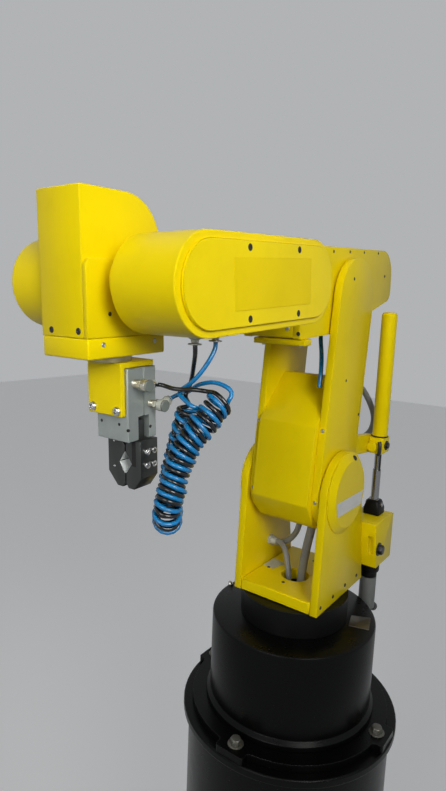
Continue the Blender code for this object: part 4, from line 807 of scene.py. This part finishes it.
fitting("upper_air_fitting", "air_fitting_upper", (-0.0060, -0.0865), 0.0110, 0.0, 0.0036, nickel)
outlet_tilt = math.radians(25.0)
fitting("lower_air_fitting", "air_fitting_lower", (-0.0262, -0.1075), 0.0112, outlet_tilt, 0.0047, clear_collar)

# push-in ports under the forearm
for name in ("hose_port_front", "hose_port_rear"):
    low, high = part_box(name)
    centre = (low + high) / 2
    head = Vector((centre.x, centre.y, high.z))
    down = Vector((0.0, 0.0, -1.0))
    length = high.z - low.z
    stem = [
        (0.0, 0.0), (0.0046, 0.0), (0.0050, length * 0.04, 6), (0.0050, length * 0.36, 6), (0.0044, length * 0.42),
        (0.0034, length * 0.46), (0.0034, length * 0.70), (0.0030, length * 0.74), (0.0, length * 0.76),
    ]
    ring = [
        (0.0026, length * 0.70), (0.0028, length * 0.80), (0.0056, length * 0.84), (0.0058, length * 0.94),
        (0.0054, length * 0.985), (0.0024, length * 0.99), (0.0, length * 0.95),
    ]
    shapes = [(stem, head, down, 36, 0.2, 0), (ring, head, down, 36, 0.0, 1)]
    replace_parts(turned(name + "_fitting", "forearm", [clear_port, zinc], shapes), name)

# the near housing stands off the hand on a smaller neck
HOUSING_INNER = 0.0370
NECK_STEP = 0.0120
housing_low, housing_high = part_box("forearm_left_housing")
housing_middle = (housing_low + housing_high) / 2
neck_shrink = [1 - 2 * NECK_STEP / length for length in housing_high - housing_low]
bm = bmesh.new()
for keep_outer in (True, False):
    part = bmesh.new()
    part.from_mesh(nodes["forearm_left_housing"].data)
    bmesh.ops.remove_doubles(part, verts=part.verts[:], dist=WELD)
    cut = bmesh.ops.bisect_plane(
        part, geom=part.verts[:] + part.edges[:] + part.faces[:], dist=0.000001, plane_co=LEFT * HOUSING_INNER,
        plane_no=LEFT, clear_inner=keep_outer, clear_outer=not keep_outer,
    )
    rim = [g for g in cut["geom_cut"] if isinstance(g, bmesh.types.BMEdge) and len(g.link_faces) == 1]
    bmesh.ops.holes_fill(part, edges=rim)
    if not keep_outer:
        for v in part.verts:
            for axis in (0, 2):
                v.co[axis] = housing_middle[axis] + (v.co[axis] - housing_middle[axis]) * neck_shrink[axis]
    spare = bpy.data.meshes.new("housing_part")
    part.to_mesh(spare)
    part.free()
    bm.from_mesh(spare)
    bpy.data.meshes.remove(spare)
housing = finish_mesh("forearm_near_housing", bm, yellow, "forearm", 28.0)
round_edges(housing, PIECE_EDGE)
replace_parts(housing, "forearm_left_housing")

# each jaw's outline in (sideways, up) millimetres, its two bright faces, its root in the gripper's channel, and the
# ends of both along the gripper
JAW_ENDS = (-33.0, -10.5)
ROOT_ENDS = (-23.4, -11.0)
NEAR_JAW = [
    (26.8, -140.6), (26.8, -176.0), (17.5, -188.8), (10.2, -188.8), (7.3, -184.5), (7.3, -175.0), (14.6, -164.2),
    (7.3, -153.5), (7.3, -147.0), (8.6, -144.5), (8.6, -140.6),
]
FAR_JAW = [
    (-16.4, -140.6), (2.6, -140.6), (2.6, -144.5), (5.7, -147.0), (5.7, -153.5), (-1.6, -164.2), (5.7, -175.0),
    (5.7, -184.5), (2.8, -188.8), (-4.5, -188.8), (-16.4, -176.0),
]
NEAR_ROOT = [(19.6, -122.3), (19.6, -141.0), (12.5, -141.0), (12.5, -122.3)]
FAR_ROOT = [(-10.2, -122.3), (-10.2, -141.0), (-3.2, -141.0), (-3.2, -122.3)]


def jaw(name, body, outline, bright, root, replaced):
    """A dark machined finger with ground faces across its inner side."""
    bm = bmesh.new()
    for line, ends in ((outline, JAW_ENDS), (root, ROOT_ENDS)):
        rings = [[bm.verts.new(tool_point(x, y, h)) for y, h in line] for x in ends]
        bm.faces.new(rings[0])
        bm.faces.new(rings[1][::-1])
        for i in range(len(line)):
            j = (i + 1) % len(line)
            face = bm.faces.new((rings[0][i], rings[0][j], rings[1][j], rings[1][i]))
            face.material_index = 1 if line is outline and i in bright else 0
    bmesh.ops.recalc_face_normals(bm, faces=bm.faces[:])
    bmesh.ops.bevel(bm, geom=bm.edges[:], offset=0.0005, segments=2, affect="EDGES", profile=0.5)
    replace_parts(finish_mesh(name, bm, [finger_steel, facet_steel], body), *replaced)


jaw("near_jaw", "left_jaw", NEAR_JAW, (5, 6), NEAR_ROOT, ["left_finger", "left_finger_pad"])
jaw("far_jaw", "right_jaw", FAR_JAW, (4, 5), FAR_ROOT, ["right_finger", "right_finger_pad"])
JAW_SCREWS = ((-17.0, -151.0), (-25.5, -151.0), (-17.0, -164.0), (-25.5, -164.0))
for name, body, way, y in (("near_jaw_screws", "left_jaw", LEFT, 26.8), ("far_jaw_screws", "right_jaw", RIGHT, -16.4)):
    screws(name, body, bright_steel, 0.0030, 0.0036, [(tool_point(x, y, h), way) for x, h in JAW_SCREWS])
pins = [(tool_point(JAW_ENDS[1], -8.0, h), TOOL_FRONT) for h in (-145.0, -170.0)]
screws("far_jaw_pins", "right_jaw", bright_steel, 0.0012, 0.0004, pins, "button")
# painted shade: a thin near-black sheet on the jaw's front face stands for the shadow in its recess
corners = ((15.5, -141.5), (20.5, -141.5), (20.5, -166.0), (15.5, -166.0))
corners = [tool_point(JAW_ENDS[1], y, h) for y, h in corners]
decal("near_jaw_painted_recess_shade", "left_jaw", shadow_black, corners, TOOL_FRONT, 0.0001)


def block_ring(bm, centre, half, z, corner):
    """A square ring with round corners."""
    points = []
    for sx, sy, start in ((1, 1, 0.0), (-1, 1, 90.0), (-1, -1, 180.0), (1, -1, 270.0)):
        for k in range(5):
            a = math.radians(start + 22.5 * k)
            x = centre.x + sx * (half - corner) + corner * math.cos(a)
            y = centre.y + sy * (half - corner) + corner * math.sin(a)
            points.append(bm.verts.new((x, y, z)))
    return points


# the drive screw's lower end: a tapered black bearing block in place of the plain fork
low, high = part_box("screw_fork")
block_rings = (
    (0.0122, low.z + 0.0002, 0.0020),
    (0.0128, low.z + 0.0010, 0.0024),
    (0.0128, low.z + (high.z - low.z) * 0.42, 0.0024),
    (0.0106, high.z - 0.0030, 0.0050),
    (0.0096, high.z - 0.0008, 0.0050),
    (0.0086, high.z, 0.0050),
)
bm = bmesh.new()
skin(bm, [block_ring(bm, (low + high) / 2, *ring) for ring in block_rings])
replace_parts(finish_mesh("screw_bearing_block", bm, black_satin, "turret", 35.0), "screw_fork")
driven("nut_pin", "nut", "nut_block", [mm(-123.5, 90, 207.0)], LEFT, 0.0050, 0.0030, blackened, "hex", 0.0072)


def route(*points):
    return [mm(*p) for p in points]


# the nut's round boss and black hook, a slim rod under it, and a black ring under the cover tube that paints the
# shadow in the gap there
nut_low, nut_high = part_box("nut_block")
boss = [(0.0, 0.0), (0.0078, 0.0), (0.0080, 0.0004), (0.0080, 0.0040), (0.0072, 0.0050), (0.0060, 0.0052)]
boss.append((0.0, 0.0050))
boss_foot = Vector((nut_high.x - 0.0004, 0.0615, nut_low.z + 0.0105))
turned("nut_boss", "nut", yellow, [(boss, boss_foot, FRONT, 40)], 35.0)
hook = route(
    (-107.0, 72.4, 214.0), (-105.6, 73.8, 210.0), (-105.4, 74.2, 204.0), (-106.4, 73.4, 198.0), (-108.0, 71.6, 194.0)
)
tube("nut_hook", smooth_path(hook, 0.0015), 0.0028, black_plastic, "nut", 16)
rod = route((-113.0, 73.5, 195.5), (-113.0, 73.5, 168.0))
tube("nut_rod", smooth_path(rod, 0.004), 0.0016, blackened, "nut", 14)
# painted shade: a thin black ring where the gap under the cover tube is in shadow
shadow_ring = [(0.0118, 0.0), (0.0124, 0.0002), (0.0124, 0.0018), (0.0117, 0.0020)]
shadow_ring_foot = Vector(((nut_low.x + nut_high.x) / 2, 0.066, nut_high.z - 0.0001))
turned("tube_painted_shadow_ring", "nut", black_satin, [(shadow_ring, shadow_ring_foot, TOP, 40)], 35.0)

# a larger black round under the drive block, and the motor's plug
low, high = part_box("drive_collar")
adapter = [
    (0.0, 0.0), (0.0128, 0.0), (0.0128, 0.0080), (0.0152, 0.0090), (0.0158, 0.0110), (0.0158, 0.0290),
    (0.0150, 0.0308), (0.0, 0.0308),
]
adapter_foot = Vector(((low.x + high.x) / 2, (low.y + high.y) / 2, low.z + 0.0008))
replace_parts(turned("motor_adapter", "turret", black_satin, [(adapter, adapter_foot, TOP, 40)], 35.0), "drive_collar")
plug = [
    (0.0, 0.0), (0.0074, 0.0), (0.0074, 0.0060), (0.0062, 0.0066), (0.0062, 0.0160), (0.0070, 0.0166),
    (0.0070, 0.0230), (0.0060, 0.0240), (0.0, 0.0240),
]
plug_shape = (plug, mm(-133.0, 66.0, -60.0), Vector((-0.80, 0.10, -0.60)), 28)
turned("drive_motor_plug", "turret", black_plastic, [plug_shape])

CABLE_STEP = 0.004


def cable(name, body, points, radius, replaced=(), bends=()):
    """A cable along the points. bends is only tested for being given: a cable with bends rides on no body, and the two
    bodies and bend points that it lists are not used.
    """
    piece = tube(name, smooth_path(points, CABLE_STEP), radius, grey_cable, None if bends else body, 20)
    if bends:
        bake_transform(piece)
    if replaced:
        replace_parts(piece, *replaced)


# motor cables, thicker than their solids, and the plugs on the bracket's wall
THICK_CABLE, THIN_CABLE = 0.0062, 0.0043
thick_route = route(
    (0, 9.4, -18.0), (0, 9.4, 4.0), (0, 10.6, 25.0), (0, 13.2, 48.0), (0.0, 16.6, 70.0), (0.0, 20.4, 90.0),
    (0.0, 22.5, 104.0), (0.0, 23.0, 114.0),
)
thin_route = route(
    (0, -11.0, -18.0), (0, -11.0, 4.0), (-2.0, -14.0, 22.0), (-6.0, -20.0, 38.0), (-11.0, -28.0, 49.0),
    (-15.0, -38.0, 53.0), (-16.0, -45.5, 52.0),
)
upper_route = route(
    (-24.0, -45.5, 48.0), (-25.0, -38.0, 50.0), (-23.0, -27.0, 57.0), (-19.0, -17.0, 68.0), (-14.0, -9.0, 80.0),
    (-11.0, -4.0, 94.0), (-10.0, -2.0, 104.0), (-10.0, -1.0, 114.0),
)
to_cover = ("turret", "upper_arm")
cable("thick_motor_cable", "turret", thick_route, THICK_CABLE, ["motor_cable_thick"], (*to_cover, 3, 6))
cable("thin_motor_cable", "turret", thin_route, THIN_CABLE, ["motor_cable_thin"])
cable("upper_motor_cable", "turret", upper_route, THIN_CABLE, (), (*to_cover, 3, 7))
plug = [
    (0.0, 0.0), (0.0074, 0.0), (0.0076, 0.0006), (0.0076, 0.0028), (0.0070, 0.0034), (0.0060, 0.0036),
    (0.0060, 0.0080), (0.0054, 0.0090), (0.0052, 0.0128), (0.0, 0.0130),
]
plugs = [(plug, mm(x, -56.5, z), LEFT, 32) for x, z in ((-16.0, 52.0), (-24.0, 48.0))]
turned("motor_cable_plugs", "turret", moulded("pale_plug", (0.42, 0.43, 0.41), 0.42), plugs)

# a blue hose inside the arm, from the motor cover up to the elbow
inner = route(
    (30.0, 34.0, 306.0), (26.0, 33.0, 322.0), (14.0, 27.0, 338.0), (2.0, 20.0, 352.0), (-6.0, 14.0, 366.0),
    (-8.0, 12.0, 380.0),
)
inner_hose = tube("arm_inner_hose", smooth_path(inner, CABLE_STEP), 0.0030, blue_hose, None, 14)
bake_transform(inner_hose)

# the cable loop behind the upper arm, in metres along the arm's own front, sideways and up from the shoulder
LOOP = [
    (-0.0505, 0.0340, 0.1470), (-0.0620, 0.0340, 0.1470), (-0.0879, 0.0380, 0.1439), (-0.1217, 0.0410, 0.1212),
    (-0.1443, 0.0415, 0.0964), (-0.1393, 0.0395, 0.0748), (-0.1032, 0.0350, 0.0620), (-0.0620, 0.0340, 0.0580),
    (-0.0505, 0.0340, 0.0580),
]
lean_cos, lean_sin = math.cos(ARM_LEAN), math.sin(ARM_LEAN)
loop = [SHOULDER + Vector((s * lean_cos - h * lean_sin, y, s * lean_sin + h * lean_cos)) for s, y, h in LOOP]
cable("looped_motor_cable", "upper_arm", loop, 0.0045, ["motor_cable_loop"])

# ---------------- stage and light
BACKDROP = (0.80, 0.82, 0.84, 1.0)
BACKDROP_STRENGTH = 0.55
FLOOR_GLOW = 0.32
FLOOR_HALF = 8
LIGHTING = (0.93, 0.95, 1.0, 1.0)
LIGHTING_STRENGTH = 0.13


def seen_rays(tree):
    """An output that is 1 for the rays that show the backdrop: to the camera, in gloss and through clear parts."""
    rays = put(tree, "ShaderNodeLightPath").outputs
    glossy = calc(tree, "MAXIMUM", rays["Is Camera Ray"], rays["Is Glossy Ray"])
    return calc(tree, "MAXIMUM", glossy, rays["Is Transmission Ray"])


floor_mesh = bpy.data.meshes.new("floor")
corners = [(FLOOR_HALF * sx, FLOOR_HALF * sy, 0) for sx, sy in ((-1, -1), (1, -1), (1, 1), (-1, 1))]
floor_mesh.from_pydata(corners, [], [(0, 1, 2, 3)])
floor = bpy.data.objects.new("floor", floor_mesh)
bpy.context.scene.collection.objects.link(floor)
floor_material, tree, bsdf = shader("pale_floor")
feed(bsdf, {
    "Base Color": (0.78, 0.78, 0.77, 1.0),
    "Roughness": 0.8,
    "Specular IOR Level": 0.1,
    "Emission Color": BACKDROP,
    # the floor's glow is only seen, so that it doesn't light the object
    "Emission Strength": calc(tree, "MULTIPLY", seen_rays(tree), FLOOR_GLOW),
})
floor.data.materials.append(floor_material)

world = bpy.data.worlds.new("world")
bpy.context.scene.world = world
world.use_nodes = True
tree = world.node_tree
lighting = next(n for n in tree.nodes if n.type == "BACKGROUND")
feed(lighting, {"Color": LIGHTING, "Strength": LIGHTING_STRENGTH})
# the camera sees a paler backdrop than the one that lights the object
backdrop = put(tree, "ShaderNodeBackground", {"Color": BACKDROP, "Strength": BACKDROP_STRENGTH})
chosen = put(tree, "ShaderNodeMixShader", {0: seen_rays(tree), 1: lighting.outputs[0], 2: backdrop.outputs[0]})
feed(next(n for n in tree.nodes if n.type == "OUTPUT_WORLD"), {"Surface": chosen.outputs[0]})


def light(name, place, target, size, power, colour=(1.0, 1.0, 1.0), spread_angle=180.0):
    """A square or oblong lamp that faces its target."""
    data = bpy.data.lights.new(name, "AREA")
    data.spread = math.radians(spread_angle)
    data.shape = "RECTANGLE"
    data.size, data.size_y = size
    data.energy = power
    data.color = colour
    lamp = bpy.data.objects.new(name, data)
    bpy.context.scene.collection.objects.link(lamp)
    lamp.location = place
    lamp.rotation_mode = "QUATERNION"
    lamp.rotation_quaternion = (Vector(target) - Vector(place)).to_track_quat("-Z", "Y")


light("key", (0.85, 1.00, 1.80), (0.33, 0.0, 1.42), (0.6, 0.6), 2.75, (1.0, 0.99, 0.95), 72.0)
light("side", (-0.2, 2.6, 2.1), (0.0, 0.0, 1.2), (1.6, 1.2), 0.8, (0.96, 0.98, 1.0))
light("front", (2.3, 0.2, 1.9), (0.2, 0.0, 1.3), (1.2, 1.2), 2.5, (1.0, 0.99, 0.96), 60.0)
light("top", (0.3, -0.8, 3.2), (0.0, 0.0, 1.0), (2.0, 2.0), 3.0)
